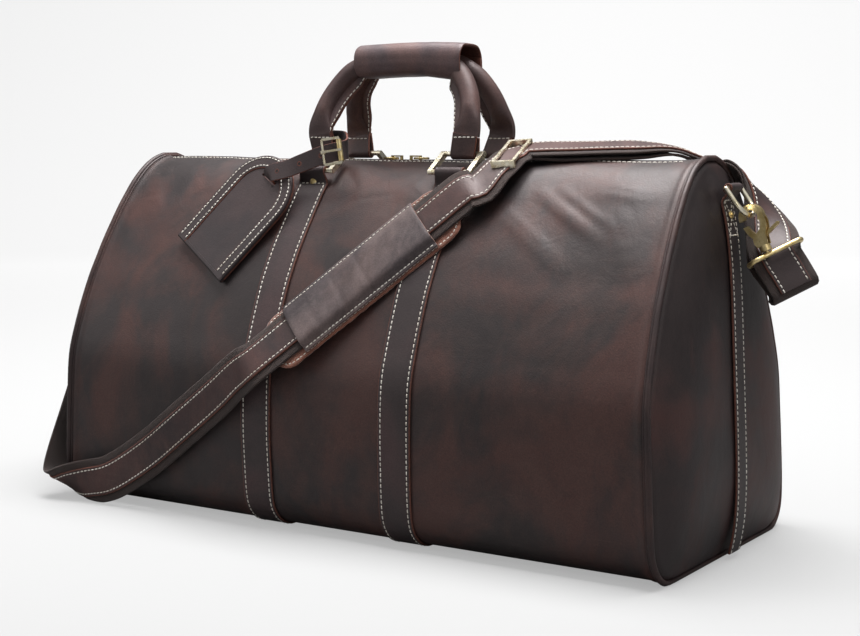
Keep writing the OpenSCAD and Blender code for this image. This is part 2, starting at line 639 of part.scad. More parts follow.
module pad_frame() on_slope()
  translate([pad_centre[0], pad_centre[1], pad_out]) rotate([0, 0, pad_angle]) children();
module rounded_plate(length, width, r, thickness) linear_extrude(thickness) {
  square([length - 2 * r, width], center = true);
  square([length, width - 2 * r], center = true);
  for (a = [-1, 1]) for (b = [-1, 1])
    translate([a * (length / 2 - r), b * (width / 2 - r)]) circle(r = r, $fn = 32);
}
module pad_base() color(SUEDE) pad_frame()
  translate([0, -1, -3.9]) rounded_plate(pad_l + 52, 51, 16, 2.4);
module pad_sleeve() color(LEATHER) pad_frame() difference() {
  translate([-pad_l / 2, -24, -1.4]) cube([pad_l, 48, 6.2]);
  translate([-pad_l, -19.7, -3]) cube([2 * pad_l, 39.4, 6.2]);
}

// ---------- luggage tag ----------
// Middle of the tag's lower edge on the slope, and its turn
tag_place = [-146, 140.7];
tag_angle = -33;
tag_t = 1.8;
module tag_plate(out) on_slope() translate([tag_place[0], tag_place[1], 0])
  rotate([0, 0, tag_angle]) translate([0, 0, out]) linear_extrude(tag_t) children();
// Outline with an arched top
module tag_outline() {
  translate([-tag_w / 2, 0]) square([tag_w, tag_l - tag_w / 2]);
  translate([0, tag_l - tag_w / 2]) circle(r = tag_w / 2, $fn = 64);
}
module tag_slit() translate([-9, 84]) square([18, 4.6]);
module tag_back() color(LEATHER) tag_plate(174.6) difference() {
  tag_outline();
  tag_slit();
}
module tag_front() color(DARK) tag_plate(176.6) difference() {
  tag_outline();
  tag_slit();
  translate([-tag_w / 2 + 12, 12]) square([tag_w - 24, 58]);
}

function tag_point(x, up, out) = slope_point(
  tag_place[0] + x * cos(tag_angle) - up * sin(tag_angle),
  tag_place[1] + x * sin(tag_angle) + up * cos(tag_angle), out);
slit_across = [-0.84, 0.255, 0.48];
// Through the slit, across the front of the handle tab, round the buckle bar
// and back behind the tab: [point, direction across the width]
tag_stations = [
  [tag_point(0, 95.5, 172.0), slit_across], [tag_point(0, 90.2, 172.2), slit_across],
  [tag_point(0, 86.5, 174.4), slit_across], [tag_point(0, 86.1, 178.4), slit_across],
  [tag_point(1.5, 90, 182.2), [-0.75, 0.28, 0.6]], [[-80, -60, 279], [-0.5, 0.22, 0.84]],
  [[-66, -57.5, 284], [-0.33, 0.1, 0.94]], [[-50, -55.5, 289.5], [-0.28, 0.05, 0.96]],
  [[-39, -52.5, 292.5], [-0.2, 0.05, 0.98]], [[-33, -48, 294], [-0.12, 0.05, 0.99]],
  [[-32.6, -42.5, 295.5], [-0.1, 0.1, 0.99]], [[-38, -35, 298.5], [-0.1, 0.15, 0.98]],
  [[-48, -24.5, 301.5], [0, 0.2, 0.98]], [[-58, -16.6, 302.6], [0, 0.2, 0.98]],
  [[-68, -15.2, 303], [0, 0.2, 0.98]], [[-75.5, -16.6, 302.8], [0, 0.2, 0.98]]];
module tag_strap() color(LEATHER)
  flat_band(station_points(tag_stations, 3), station_widths(tag_stations, 3), 7.4, -0.9, 0.9);

// Buckle: X along the tag strap, Y across it
buckle_centre = [-37.5, -56.6, 293.4];
buckle_x = unit([0.86, 0.47, 0.15]);
buckle_lean = [-0.2, 0.05, 0.98];
buckle_y = unit(buckle_lean - (buckle_lean * buckle_x) * buckle_x);
roller_bar = [7, 0];
prong_bar = [-6.5, 0];
module at_buckle() in_frame(buckle_x, buckle_y, cross(buckle_x, buckle_y), buckle_centre)
  children();
module tag_buckle_frame() color(BRASS) at_buckle() {
  for (s = [-1, 1]) translate([-6.5, s * 10 - 1, -1]) cube([14, 2, 2]);
  for (bar = [roller_bar, prong_bar]) rod_y(bar, 20, 1.0, 24);
}
module tag_buckle_roller() color(BRASS) at_buckle() difference() {
  rod_y(roller_bar, 17.2, 2.1, 32);
  rod_y(roller_bar, 20, 1.3, 24);
}
module tag_buckle_prong() color(BRASS) at_buckle() {
  difference() {
    rod_y(prong_bar, 2.4, 2.2, 32);
    rod_y(prong_bar, 6, 1.3, 24);
  }
  translate([-7.4, -0.9, 1.5]) cube([2.4, 1.8, 1.8]);
  translate([-7, -0.9, 2.3]) cube([15.6, 1.8, 1.0]);
}

front_panel();
back_panel();
base_panel();
end_panel_left();
end_panel_right();
piping_left();
piping_right();
lining();
base_board();
inner_pocket();
zip_tape_front();
zip_tape_back();
zip_teeth_front();
zip_teeth_back();
zip_end_tabs();
strip_front_left();
strip_front_right();
strip_back_left();
strip_back_right();
handle_rivets();
end_strip_left();
end_strip_right();
end_rivets();
ring_front_left();
ring_front_right();
ring_back_left();
ring_back_right();
front_handle_cover();
front_handle_core();
back_handle_cover();
back_handle_core();
wrap_grip();
wrap_flap();
wrap_studs();
wrap_caps();
zip_slider_left();
zip_slider_right();
zip_pull_left();
zip_pull_right();
d_ring_left();
d_ring_right();
hook_body_left();
hook_body_right();
hook_lever_left();
hook_lever_right();
hook_pins_left();
hook_pins_right();
hook_eye_left();
hook_eye_right();
strap_webbing();
strap_facing();
strap_adjuster();
pad_base();
pad_sleeve();
tag_back();
tag_front();
tag_strap();
tag_buckle_frame();
tag_buckle_roller();
tag_buckle_prong();
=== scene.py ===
# A leather travel bag: zipped top, two handles held in a wrap, shoulder strap with pad, and a
# luggage tag. It stands on z = 0 with its length along X (right is +X) and its front to -Y.
# Shapes are in mm and become metres in Piece.build. Materials and stage are in metres.
from itertools import product
from math import atan2, cos, degrees, pi, radians, sin
from types import SimpleNamespace

import bpy
import numpy as np
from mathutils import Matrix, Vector
from numpy import array, concatenate, linspace


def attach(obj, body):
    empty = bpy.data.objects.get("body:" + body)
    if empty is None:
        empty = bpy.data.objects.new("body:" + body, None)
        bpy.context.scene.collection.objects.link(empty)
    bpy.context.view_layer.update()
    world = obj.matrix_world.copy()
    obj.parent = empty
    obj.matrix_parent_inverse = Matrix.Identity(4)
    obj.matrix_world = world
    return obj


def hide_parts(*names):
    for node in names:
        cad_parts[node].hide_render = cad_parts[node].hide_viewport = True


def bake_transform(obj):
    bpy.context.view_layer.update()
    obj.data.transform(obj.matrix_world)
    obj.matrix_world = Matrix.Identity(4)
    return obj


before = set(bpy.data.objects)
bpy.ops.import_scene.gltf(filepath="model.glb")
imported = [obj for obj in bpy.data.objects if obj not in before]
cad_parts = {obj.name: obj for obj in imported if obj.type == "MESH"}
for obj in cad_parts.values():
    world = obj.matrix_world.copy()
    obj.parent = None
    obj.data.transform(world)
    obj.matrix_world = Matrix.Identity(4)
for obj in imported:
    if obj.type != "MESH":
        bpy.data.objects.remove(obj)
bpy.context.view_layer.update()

MM = 0.001
FRONT, BACK = -1, 1  # signs of y
LEFT, RIGHT = -1, 1  # signs of x

# Driving places shared by several pieces
RING_X = 65.0  # handle strips and rings, either side of the middle
RING_LOWER = (43.0, 278.0)  # lower bar of a handle ring: |y|, z
RING_UPPER = (24.0, 291.5)  # upper bar of a handle ring: |y|, z
D_RING = (277.0, 268.0)  # bar of a D ring on the end: |x|, z
END_MID_Z = 135  # height of the middle of each end
END_INSET = 1.0  # end leather's rim inside the body's half length
END_BULGE = 16  # how far an end's middle stands out
HANDLE_TOP = 364.5
WRAP_X = 8.0  # middle of the wrap
WRAP_LENGTH = 100.0


# ---------------------------------------------------------------- vectors and noise
def unit(v):
    v = np.asarray(v, float)
    return v / np.maximum(np.linalg.norm(v, axis=-1, keepdims=True), 1e-12)


def columns(*parts):
    """Coordinates broadcast together and stacked as points."""
    return np.stack(np.broadcast_arrays(*parts), -1)


def smoothstep(low, high, x):
    t = np.clip((np.asarray(x, float) - low) / (high - low), 0, 1)
    return t * t * (3 - 2 * t)


def bell(x, centre, width):
    return np.exp(-(((x - centre) / width) ** 2))


def lattice_hash(i, j, k):
    n = (i * 73856093) ^ (j * 19349663) ^ (k * 83492791)
    n = (n ^ (n >> 13)) * 1274126177
    n = n ^ (n >> 16)
    return (n & 0xFFFFFF) / float(0xFFFFFF) * 2 - 1


def value_noise(x, y, z):
    place = [np.asarray(v, float) for v in np.broadcast_arrays(x, y, z)]
    cell = [np.floor(v).astype(np.int64) for v in place]
    u, v, w = [(p - c) ** 2 * (3 - 2 * (p - c)) for p, c in zip(place, cell)]
    total = 0.0
    for a, b, c in product((0, 1), repeat=3):
        weight = (u if a else 1 - u) * (v if b else 1 - v) * (w if c else 1 - w)
        total = total + weight * lattice_hash(cell[0] + a, cell[1] + b, cell[2] + c)
    return total


def fbm(x, y, z=0.0, octaves=3):
    total, gain, freq = 0.0, 1.0, 1.0
    x, y, z = np.asarray(x), np.asarray(y), np.asarray(z)
    for n in range(octaves):
        total = total + gain * value_noise(x * freq + 17.3 * n, y * freq + 5.1 * n, z * freq)
        gain, freq = gain * 0.5, freq * 2.03
    return total / 1.8


# ---------------------------------------------------------------- curves
def spline(points, steps):
    """Catmull-Rom through the points, so many steps to a span."""
    points = np.asarray(points, float)
    last = len(points) - 1
    out = []
    for i in range(last):
        a, b, c, d = points[max(i - 1, 0)], points[i], points[i + 1], points[min(i + 2, last)]
        for j in range(steps):
            t = j / steps
            out.append(0.5 * (2 * b + (c - a) * t + (2 * a - 5 * b + 4 * c - d) * t * t
                              + (3 * b - a - 3 * c + d) * t**3))
    out.append(points[last])
    return array(out)


def tangents(line):
    return unit(np.gradient(np.asarray(line, float), axis=0))


def normals_2d(line):
    """Unit normals on the right of a flat line."""
    t = np.gradient(line, axis=0)
    return unit(columns(t[:, 1], -t[:, 0]))


def arclen(line):
    return concatenate([[0], np.cumsum(np.linalg.norm(np.diff(line, axis=0), axis=1))])


def read_at(rows, lengths, wanted):
    """Rows given at lengths, read at the wanted lengths."""
    return columns(*(np.interp(wanted, lengths, column) for column in np.asarray(rows, float).T))


def respace(line, count):
    lengths = arclen(line)
    return read_at(line, lengths, linspace(0, lengths[-1], count))


def arc(centre, radius, start, end, count):
    """Flat arc between two angles in degrees."""
    a = np.radians(linspace(start, end, count))
    return columns(centre[0] + radius * np.cos(a), centre[1] + radius * np.sin(a))


# ---------------------------------------------------------------- mesh pieces
# One stitch from end to end: place along it, thickness and height, as shares of its size
STITCH_ALONG = array([-1, -0.82, -0.35, 0.35, 0.82, 1])
STITCH_ROUND = array([0.3, 0.85, 1, 1, 0.85, 0.3])
STITCH_HEIGHT = array([-0.45, -0.12, 0.1, 0.1, -0.12, -0.45])
STITCH_SIDES = 6
STITCH_START = 1.5  # first stitch's centre from the start of the row
STITCH_LIFT = 0.12
ENDS = array([[-1.0], [1.0]])  # two ends of a straight row


class Piece:
    """A mesh gathered from parts, with a material slot for each face."""

    def __init__(self):
        self.points, self.faces, self.slots, self.uvs, self.count = [], [], [], [], 0

    def add(self, points, faces, slots=0, uv=None):
        points = np.asarray(points, float).reshape(-1, 3)
        self.points.append(points)
        self.uvs.append(np.zeros((len(points), 3)) if uv is None else uv)
        self.faces += [tuple(int(i) + self.count for i in face) for face in faces]
        self.slots += [slots] * len(faces) if np.isscalar(slots) else list(slots)
        self.count += len(points)

    def slab(self, outer, inner, edge=1, inside=0, uv=None, flip=False):
        """A closed sheet between two grids of points of one size."""
        rows, cols = outer.shape[:2]
        n = rows * cols
        faces, slots, rims = [], [], []
        for i in range(rows - 1):
            for j in range(cols - 1):
                a, b = i * cols + j, (i + 1) * cols + j
                c, d = b + 1, a + 1
                faces += [(a, b, c, d), (n + a, n + d, n + c, n + b)]
                slots += [0, inside]
        for i in range(rows - 1):
            for j, step in ((0, 1), (cols - 1, -1)):
                a = i * cols + j
                rims.append((a, a + cols)[::step])
        for j in range(cols - 1):
            for i, step in ((0, -1), (rows - 1, 1)):
                a = i * cols + j
                rims.append((a, a + 1)[::step])
        faces += [(a, n + a, n + b, b) for a, b in rims]
        slots += [edge] * len(rims)
        if flip:
            faces = [face[::-1] for face in faces]
        if uv is not None:
            uv = concatenate([uv.reshape(-1, 3)] * 2)
        self.add(concatenate([outer.reshape(-1, 3), inner.reshape(-1, 3)]), faces, slots, uv)

    def skin(self, rings, slot=0, ring_slots=None, cap_slot=None, closed=False, uv=None):
        """A skin over rings of points (n, k, 3), each ring closed; capped unless closed."""
        n, k = rings.shape[:2]
        faces, slots = [], []
        for i in range(n if closed else n - 1):
            for j in range(k):
                here, there, nxt = i * k, ((i + 1) % n) * k, (j + 1) % k
                faces.append((here + j, here + nxt, there + nxt, there + j))
                slots.append(slot if ring_slots is None else ring_slots[j])
        if not closed:
            faces.append(tuple(range(k)))
            faces.append(tuple((n - 1) * k + j for j in range(k - 1, -1, -1)))
            slots += [slot if cap_slot is None else cap_slot] * 2
        self.add(rings, faces, slots, None if uv is None else uv.reshape(-1, 3))

    def stitches(self, path, out, slot=2, pitch=4.1, length=2.95, radius=0.47):
        """Thread stitches along the path; out is the outward direction, one or one per point."""
        path = np.asarray(path, float)
        out = np.broadcast_to(unit(out), path.shape)
        lengths = arclen(path)
        total, half = lengths[-1], length / 2
        centres = np.arange(STITCH_START, total - 1.0, pitch)
        middle, out = read_at(path, lengths, centres), unit(read_at(out, lengths, centres))
        along = unit(read_at(path, lengths, np.minimum(centres + half, total))
                     - read_at(path, lengths, np.maximum(centres - half, 0)))
        out = unit(out - (out * along).sum(1, keepdims=True) * along)
        across = np.cross(out, along)
        k, n = STITCH_SIDES, len(STITCH_ALONG)
        angle = np.arange(k) * 2 * pi / k
        t, thick = STITCH_ALONG[:, None], (STITCH_ROUND * radius)[:, None]
        height = (STITCH_HEIGHT * radius * 1.3 + STITCH_LIFT)[:, None]
        # the middle term leans the stitch a little across its row
        shape = columns(t * half, thick * np.cos(angle) + 0.2 * t * thick,
                        height + thick * np.sin(angle) * 0.8).reshape(-1, 3)
        faces = [(i * k + j, (i + 1) * k + j, (i + 1) * k + (j + 1) % k, i * k + (j + 1) % k)
                 for i in range(n - 1) for j in range(k)]
        faces.append(tuple(range(k - 1, -1, -1)))
        faces.append(tuple((n - 1) * k + j for j in range(k)))
        for centre, *axes in zip(middle, along, across, out):
            self.add(centre + shape @ array(axes), faces, slot)

    def build(self, name, materials, body, slot, replaces=(), angle=50):
        """Make the object; edges sharper than the angle in degrees stay sharp."""
        mesh = bpy.data.meshes.new(name)
        mesh.from_pydata((concatenate(self.points) * MM).tolist(), [], self.faces)
        for material in materials:
            mesh.materials.append(material)
        mesh.polygons.foreach_set("material_index", self.slots)
        ruv = mesh.attributes.new("ruv", "FLOAT_VECTOR", "POINT")
        ruv.data.foreach_set("vector", (concatenate(self.uvs) * MM).astype(np.float32).ravel())
        mesh.validate()
        mesh.update()
        ob = new_object(name, mesh)
        mesh.polygons.foreach_set("use_smooth", [True] * len(mesh.polygons))
        mesh.set_sharp_from_angle(angle=radians(angle))
        if body:
            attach(ob, body)
        if replaces:
            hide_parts(*replaces)
        return ob


def new_object(name, data):
    ob = bpy.data.objects.new(name, data)
    bpy.context.scene.collection.objects.link(ob)
    return ob


def ribbon(path, width_dir, profile, half_width, floor=-np.inf):
    """Rings of a band along the path. profile rows are (share of half width, height in mm)."""
    path = np.asarray(path, float)
    along = tangents(path)
    out = unit(np.cross(along, unit(width_dir)))
    across = unit(np.cross(out, along))
    half_width = np.broadcast_to(np.asarray(half_width, float), (len(path),))
    offset = profile[:, 0] * half_width[:, None]
    height = profile[:, 1]
    rings = (path[:, None] + across[:, None] * offset[..., None]
             + out[:, None] * height[None, :, None])
    rings[..., 2] = np.maximum(rings[..., 2], floor)
    uv = columns(arclen(path)[:, None], offset, height)
    return SimpleNamespace(rings=rings, uv=uv, along=along, across=across, out=out)


def strip_profile(low, high, row, groove):
    """Section of a leather band with rounded edges, pressed by groove along its stitch rows."""
    edge = 0.05
    tops = list(linspace(-1 + edge, 1 - edge, 9))
    tops += [-row, row, -row + 0.07, row - 0.07, -row - 0.06, row + 0.06]
    top = [(u, high - groove * bell(abs(u), row, 0.05)) for u in sorted(set(tops))]
    bottom = [(u, low) for u in linspace(1 - edge, -1 + edge, 5)]
    middle, thick = (low + high) / 2, high - low
    right = [(1.0 - edge * 0.15, high - thick * 0.16), (1.0, middle + thick * 0.105),
             (1.0, middle - thick * 0.15), (1.0 - edge * 0.2, low + thick * 0.14)]
    left = [(-u, h) for u, h in right[::-1]]
    slots = [0] * (len(top) - 1) + [1] * 5 + [0] * (len(bottom) - 1) + [1] * 5
    return array(top + right + bottom + left), slots


def leather_band(piece, path, width_dir, half_width, low, high, row, groove=0.22, floor=-np.inf):
    """Add a leather band: slot 0 on its faces, slot 1 on its cut edges."""
    profile, slots = strip_profile(low, high, row, groove)
    band = ribbon(path, width_dir, profile, half_width, floor)
    piece.skin(band.rings, ring_slots=slots, cap_slot=1, uv=band.uv)
    return band


# ---------------------------------------------------------------- shader tools
def colour(code):
    """Linear RGBA of a "#rrggbb" colour."""
    channels = [int(code[i : i + 2], 16) / 255 for i in (1, 3, 5)]
    return tuple((x / 12.92 if x <= 0.04045 else ((x + 0.055) / 1.055) ** 2.4)
                 for x in channels) + (1.0,)


class Shader:
    """A material being made. Inputs take a socket, a value or a "#rrggbb" colour."""

    def __init__(self, name):
        self.material = bpy.data.materials.new(name)
        self.material.use_nodes = True
        self.tree = self.material.node_tree
        self.bsdf = next(n for n in self.tree.nodes if n.type == "BSDF_PRINCIPLED")
        self.normal = None

    def feed(self, socket, value):
        if isinstance(value, bpy.types.NodeSocket):
            self.tree.links.new(value, socket)
        else:
            socket.default_value = colour(value) if isinstance(value, str) else value

    def node(self, kind, inputs=None, **settings):
        node = self.tree.nodes.new(kind)
        for key, value in settings.items():
            setattr(node, key, value)
        for key, value in (inputs or {}).items():
            self.feed(node.inputs[key], value)
        return node

    def surface(self, inputs):
        for key, value in inputs.items():
            self.feed(self.bsdf.inputs[key], value)

    def coords(self):
        return self.node("ShaderNodeTexCoord").outputs["Object"]

    def mapping(self, vector, scale=(1, 1, 1), turn=(0, 0, 0), shift=(0, 0, 0)):
        inputs = {"Vector": vector, "Scale": scale, "Rotation": turn, "Location": shift}
        return self.node("ShaderNodeMapping", inputs).outputs["Vector"]

    def separate(self, vector):
        return self.node("ShaderNodeSeparateXYZ", {0: vector}).outputs

    def noise(self, vector, scale, detail=3, rough=0.5, warp=0.0):
        inputs = {"Vector": vector, "Scale": scale, "Detail": detail, "Roughness": rough,
                  "Distortion": warp}
        return self.node("ShaderNodeTexNoise", inputs).outputs["Fac"]

    def voronoi(self, vector, scale, **settings):
        inputs = {"Vector": vector, "Scale": scale}
        return self.node("ShaderNodeTexVoronoi", inputs, **settings).outputs["Distance"]

    def ramp(self, value, low, high, at_low=0.0, at_high=1.0):
        """From at_low to at_high (greys or colours) as the value goes from low to high."""
        node = self.node("ShaderNodeValToRGB", {"Fac": value})
        for stop, place, shade in zip(node.color_ramp.elements, (low, high), (at_low, at_high)):
            stop.position = place
            stop.color = (shade, shade, shade, 1) if np.isscalar(shade) else shade
        return node.outputs["Color"]

    def mix(self, factor, a, b, mode="MIX"):
        inputs = {0: factor, 6: a, 7: b}  # the colour sockets of the node
        return self.node("ShaderNodeMix", inputs, data_type="RGBA", blend_type=mode).outputs[2]

    def shade(self, base, value, **ramp):
        """Multiply a colour by a ramp."""
        return self.mix(1.0, base, self.ramp(value, **ramp), "MULTIPLY")

    def math(self, operation, a, b=0.0, c=0.0, clamp=False):
        inputs = {0: a, 1: b, 2: c}
        return self.node("ShaderNodeMath", inputs, operation=operation,
                         use_clamp=clamp).outputs[0]

    def times(self, a, b, plus=None, clamp=False):
        if plus is None:
            return self.math("MULTIPLY", a, b)
        return self.math("MULTIPLY_ADD", a, b, plus, clamp)

    def bump(self, height, strength, distance):
        """Add a bump on top of those before it."""
        inputs = {"Strength": strength, "Distance": distance, "Height": height}
        if self.normal is not None:
            inputs["Normal"] = self.normal
        self.normal = self.node("ShaderNodeBump", inputs).outputs["Normal"]
        self.surface({"Normal": self.normal})


# ---------------------------------------------------------------- materials
# Scratches: turn, stretch, line width, shift of the noise
SCRATCHES = [
    ((0.5, 0.75, 0.2), (9, 260, 260), 0.012, 0.0),
    ((0.2, -0.9, 0.9), (12, 230, 230), 0.010, 3.7),
    ((0.9, 1.9, -0.4), (20, 420, 420), 0.010, 8.1),
]


def scratch_lines(m, co):
    """Long thin lines in three directions, broken up."""
    lines = []
    for turn, stretch, width, shift in SCRATCHES:
        vector = m.mapping(co, stretch, turn, (shift, shift, shift))
        wave = m.noise(vector, scale=1.0, detail=2, rough=0.4, warp=0.25)
        middle = m.math("ABSOLUTE", m.math("SUBTRACT", wave, 0.5))
        line = m.ramp(middle, low=0.0, high=width, at_low=1.0, at_high=0.0)
        patches = m.noise(m.mapping(co, shift=(shift + 1, 0, 2)), scale=16, detail=3, rough=0.6)
        lines.append(m.times(line, m.ramp(patches, low=0.52, high=0.68)))
    return m.math("ADD", m.math("ADD", lines[0], lines[1]), lines[2], clamp=True)


def leather(name, dark, red, pale, seed, patch, haze, scratch, rough=0.46):
    """Waxed leather: charcoal and red-brown clouds, pale haze, fine scratches and grain."""
    m = Shader(name)
    dark = colour(dark)
    deep = tuple(c * 0.55 for c in dark[:3]) + (1,)
    co = m.mapping(m.coords(), shift=(seed, seed * 0.7, -seed * 0.4))
    broad = m.noise(co, scale=7.5, detail=5, rough=0.56, warp=1.1)
    streaky = m.mapping(co, scale=(1, 1, 0.6), turn=(0.3, 0.5, 0.2))
    medium = m.noise(streaky, scale=19, detail=6, rough=0.62, warp=0.9)
    fine = m.noise(co, scale=95, detail=5, rough=0.62)
    grain = m.noise(co, scale=900, detail=3, rough=0.6)
    clouds = m.times(medium, 0.45, plus=m.times(broad, 0.62))
    reddened = m.ramp(clouds, low=0.52 - 0.10 * patch, high=0.66 - 0.10 * patch)
    rubbed = m.ramp(m.times(fine, 0.35, plus=m.times(medium, 0.65)), low=0.42, high=0.68)
    col = m.mix(reddened, dark, red)
    hollows = m.ramp(broad, low=0.35, high=0.5, at_low=1.0, at_high=0.0)
    col = m.mix(m.times(hollows, 0.55), col, deep)
    col = m.mix(m.times(rubbed, haze), col, pale)
    scratches = scratch_lines(m, co)
    col = m.mix(m.times(scratches, scratch * 0.5), col, pale)
    specks = m.ramp(m.voronoi(co, scale=170.0), low=0.03, high=0.08, at_low=1.0, at_high=0.0)
    where = m.ramp(m.noise(co, scale=60, detail=2, rough=0.5), low=0.60, high=0.66)
    col = m.mix(m.times(m.times(specks, where), 0.5), col, pale)
    col = m.shade(col, grain, low=0.3, high=0.7,
                  at_low=(0.72, 0.72, 0.72, 1), at_high=(1.18, 1.16, 1.15, 1))
    # roughness: each texture by its weight, over the base value
    gloss = m.times(medium, 0.22, plus=rough - 0.11)
    gloss = m.times(grain, 0.10, plus=gloss)
    gloss = m.times(scratches, 0.12, plus=gloss)
    m.surface({"Base Color": col, "Roughness": gloss, "Specular IOR Level": 0.44,
               "Specular Tint": (1.0, 0.88, 0.87, 1)})
    cells = m.voronoi(m.mapping(co, shift=(0.3, 0.2, 0.1)), scale=900.0, feature="SMOOTH_F1")
    fold_map = m.mapping(co, scale=(1, 1, 0.55), turn=(0.1, 0.4, 0.6))
    folds = m.noise(fold_map, scale=55, detail=4, rough=0.55, warp=1.2)
    m.bump(folds, strength=0.25, distance=0.0012)
    m.bump(cells, strength=0.22, distance=0.0003)
    m.bump(grain, strength=0.25, distance=0.0003)
    m.bump(scratches, strength=-0.25, distance=0.0002)
    return m.material


def edge_leather(name, light):
    """Raw cut edge: red-brown, fibrous."""
    m = Shader(name)
    co = m.coords()
    fibres = m.noise(co, scale=1100, detail=4, rough=0.7)
    clouds = m.noise(co, scale=70, detail=3, rough=0.6)
    col = m.mix(m.ramp(clouds, low=0.35, high=0.7), "#2c1410", light)
    col = m.mix(m.ramp(fibres, low=0.35, high=0.75, at_high=0.75), col, "#7c4a38")
    m.surface({"Base Color": col, "Roughness": 0.82})
    m.bump(fibres, strength=0.6, distance=0.0005)
    return m.material


def thread():
    """Pale waxed thread."""
    m = Shader("thread_waxed")
    co = m.coords()
    fibres = m.noise(co, scale=1500, detail=2, rough=0.5)
    clouds = m.noise(co, scale=25, detail=3, rough=0.6)
    col = m.mix(m.ramp(clouds, low=0.4, high=0.75), "#d9d4ca", "#b5aa9b")
    col = m.shade(col, fibres, low=0.3, high=0.7, at_low=0.78, at_high=1.05)
    m.surface({"Base Color": col, "Roughness": 0.6, "Sheen Weight": 0.2})
    m.bump(fibres, strength=0.5, distance=0.0003)
    return m.material


def weave(name, low, high, pitch=1.15):
    """Heavy twill: diagonal ribs cut by cross yarns, the pitch in mm along the band."""
    m = Shader(name)
    u, v, _ = m.separate(m.node("ShaderNodeAttribute", attribute_name="ruv").outputs["Vector"])
    wave = 2 * pi / (pitch * MM)
    # factors: slants of ribs and yarns, yarns per rib, then the share of each in the height
    ribs = m.math("SINE", m.times(m.math("ADD", m.times(u, 1.0), m.times(v, 0.9)), wave))
    slant = m.math("SUBTRACT", u, m.times(v, 0.35))
    yarns = m.math("SINE", m.times(slant, wave * 1.9))
    height = m.times(yarns, 0.28, plus=m.times(ribs, 0.5))
    fibres = m.noise(m.coords(), scale=2200, detail=3, rough=0.7)
    clouds = m.noise(m.coords(), scale=30, detail=3, rough=0.6)
    # the colour follows the weave's relief: dark in the low places between yarns as painted shade,
    # pale on the raised ribs
    col = m.mix(m.times(height, 0.6, plus=0.5, clamp=True), low, high)
    col = m.shade(col, fibres, low=0.3, high=0.72, at_low=0.6, at_high=1.35)
    col = m.shade(col, clouds, low=0.3, high=0.7, at_low=0.8, at_high=1.2)
    m.surface({"Base Color": col, "Roughness": 0.88, "Sheen Weight": 0.1,
               "Sheen Roughness": 0.5})
    m.bump(height, strength=0.9, distance=0.0006)
    m.bump(fibres, strength=0.4, distance=0.0003)
    return m.material


def suede():
    m = Shader("suede_split")
    co = m.coords()
    nap = m.noise(co, scale=1300, detail=5, rough=0.75)
    clouds = m.noise(co, scale=90, detail=4, rough=0.6)
    col = m.mix(m.ramp(clouds, low=0.3, high=0.72), "#5b3022", "#84513d")
    col = m.shade(col, nap, low=0.3, high=0.7, at_low=0.6, at_high=1.3)
    m.surface({"Base Color": col, "Roughness": 0.92, "Sheen Weight": 0.35})
    m.bump(nap, strength=0.8, distance=0.0008)
    m.bump(clouds, strength=0.3, distance=0.001)
    return m.material


def metal(name, worn, tint, rough, hollow):
    """Antique brass: bright where rubbed, brown in the hollows."""
    m = Shader(name)
    co = m.coords()
    clouds = m.noise(co, scale=160, detail=4, rough=0.6)
    fine = m.noise(co, scale=900, detail=3, rough=0.6)
    col = m.mix(m.ramp(clouds, low=0.3, high=0.62), tint, worn)
    pointed = m.node("ShaderNodeNewGeometry").outputs["Pointiness"]
    hollows = m.ramp(pointed, low=0.42, high=0.49, at_low=1.0, at_high=0.0)
    col = m.mix(m.times(hollows, hollow), col, "#3a2c1c")
    m.surface({"Base Color": col, "Metallic": 1.0,
               "Roughness": m.times(clouds, 0.12, plus=rough - 0.06)})
    m.bump(fine, strength=0.05, distance=0.0002)
    m.bump(clouds, strength=0.06, distance=0.0003)
    return m.material


def plain(name, low, high, scale=400):
    m = Shader(name)
    mottle = m.noise(m.coords(), scale=scale, detail=4, rough=0.65)
    m.surface({"Base Color": m.mix(m.ramp(mottle, low=0.3, high=0.7), low, high),
               "Roughness": 0.8})
    m.bump(mottle, strength=0.3, distance=0.0004)
    return m.material


BODY = leather("leather_body", "#211d1e", "#3c2420", "#51443f",
               seed=0.0, patch=0.42, haze=0.16, scratch=0.5)
END = leather("leather_end", "#1f191a", "#38201d", "#4d3f3d",
              seed=0.35, patch=0.36, haze=0.12, scratch=0.35)
TRIM = leather("leather_trim", "#2b2526", "#38292a", "#504646",
               seed=0.9, patch=0.2, haze=0.12, scratch=0.25)
PIPING = leather("leather_piping", "#241a1b", "#3a2521", "#4d3f3c",
                 seed=1.3, patch=0.5, haze=0.2, scratch=0.2)
HANDLE = leather("leather_handles", "#423333", "#5a3c36", "#6d5a54",
                 seed=1.9, patch=0.45, haze=0.22, scratch=0.3)
WRAP = leather("leather_wrap", "#41363a", "#563f3c", "#716262",
               seed=2.3, patch=0.35, haze=0.3, scratch=0.3)
STRAP = leather("leather_strap", "#261c1d", "#402724", "#5a4b48",
                seed=3.1, patch=0.42, haze=0.2, scratch=0.5)
PAD = leather("leather_pad", "#3a3436", "#4a3d3b", "#776b6a",
              seed=4.2, patch=0.45, haze=0.5, scratch=0.95, rough=0.5)
TAG = leather("leather_tag", "#242022", "#302627", "#4d4342",
              seed=5.0, patch=0.22, haze=0.12, scratch=0.5)
EDGE = edge_leather("leather_edge", "#5e3025")
EDGE_DARK = edge_leather("leather_edge_dark", "#4a2620")
THREAD = thread()
WEBBING = weave("webbing_twill", "#1b100d", "#402a23")
ZIP_TAPE = weave("zip_tape_weave", "#3a1813", "#5c2a22", pitch=0.8)
LINING = plain("lining_cloth", "#241c1a", "#3a2f2c", scale=800)
BOARD = plain("board", "#6b5a45", "#8a765c", scale=300)
plain("rope", "#9a8b73", "#bfb094", scale=300)  # in the material list only, on no piece
SUEDE = suede()
BRASS = metal("brass_antique", "#e6d3a0", "#bfa468", rough=0.34, hollow=0.3)
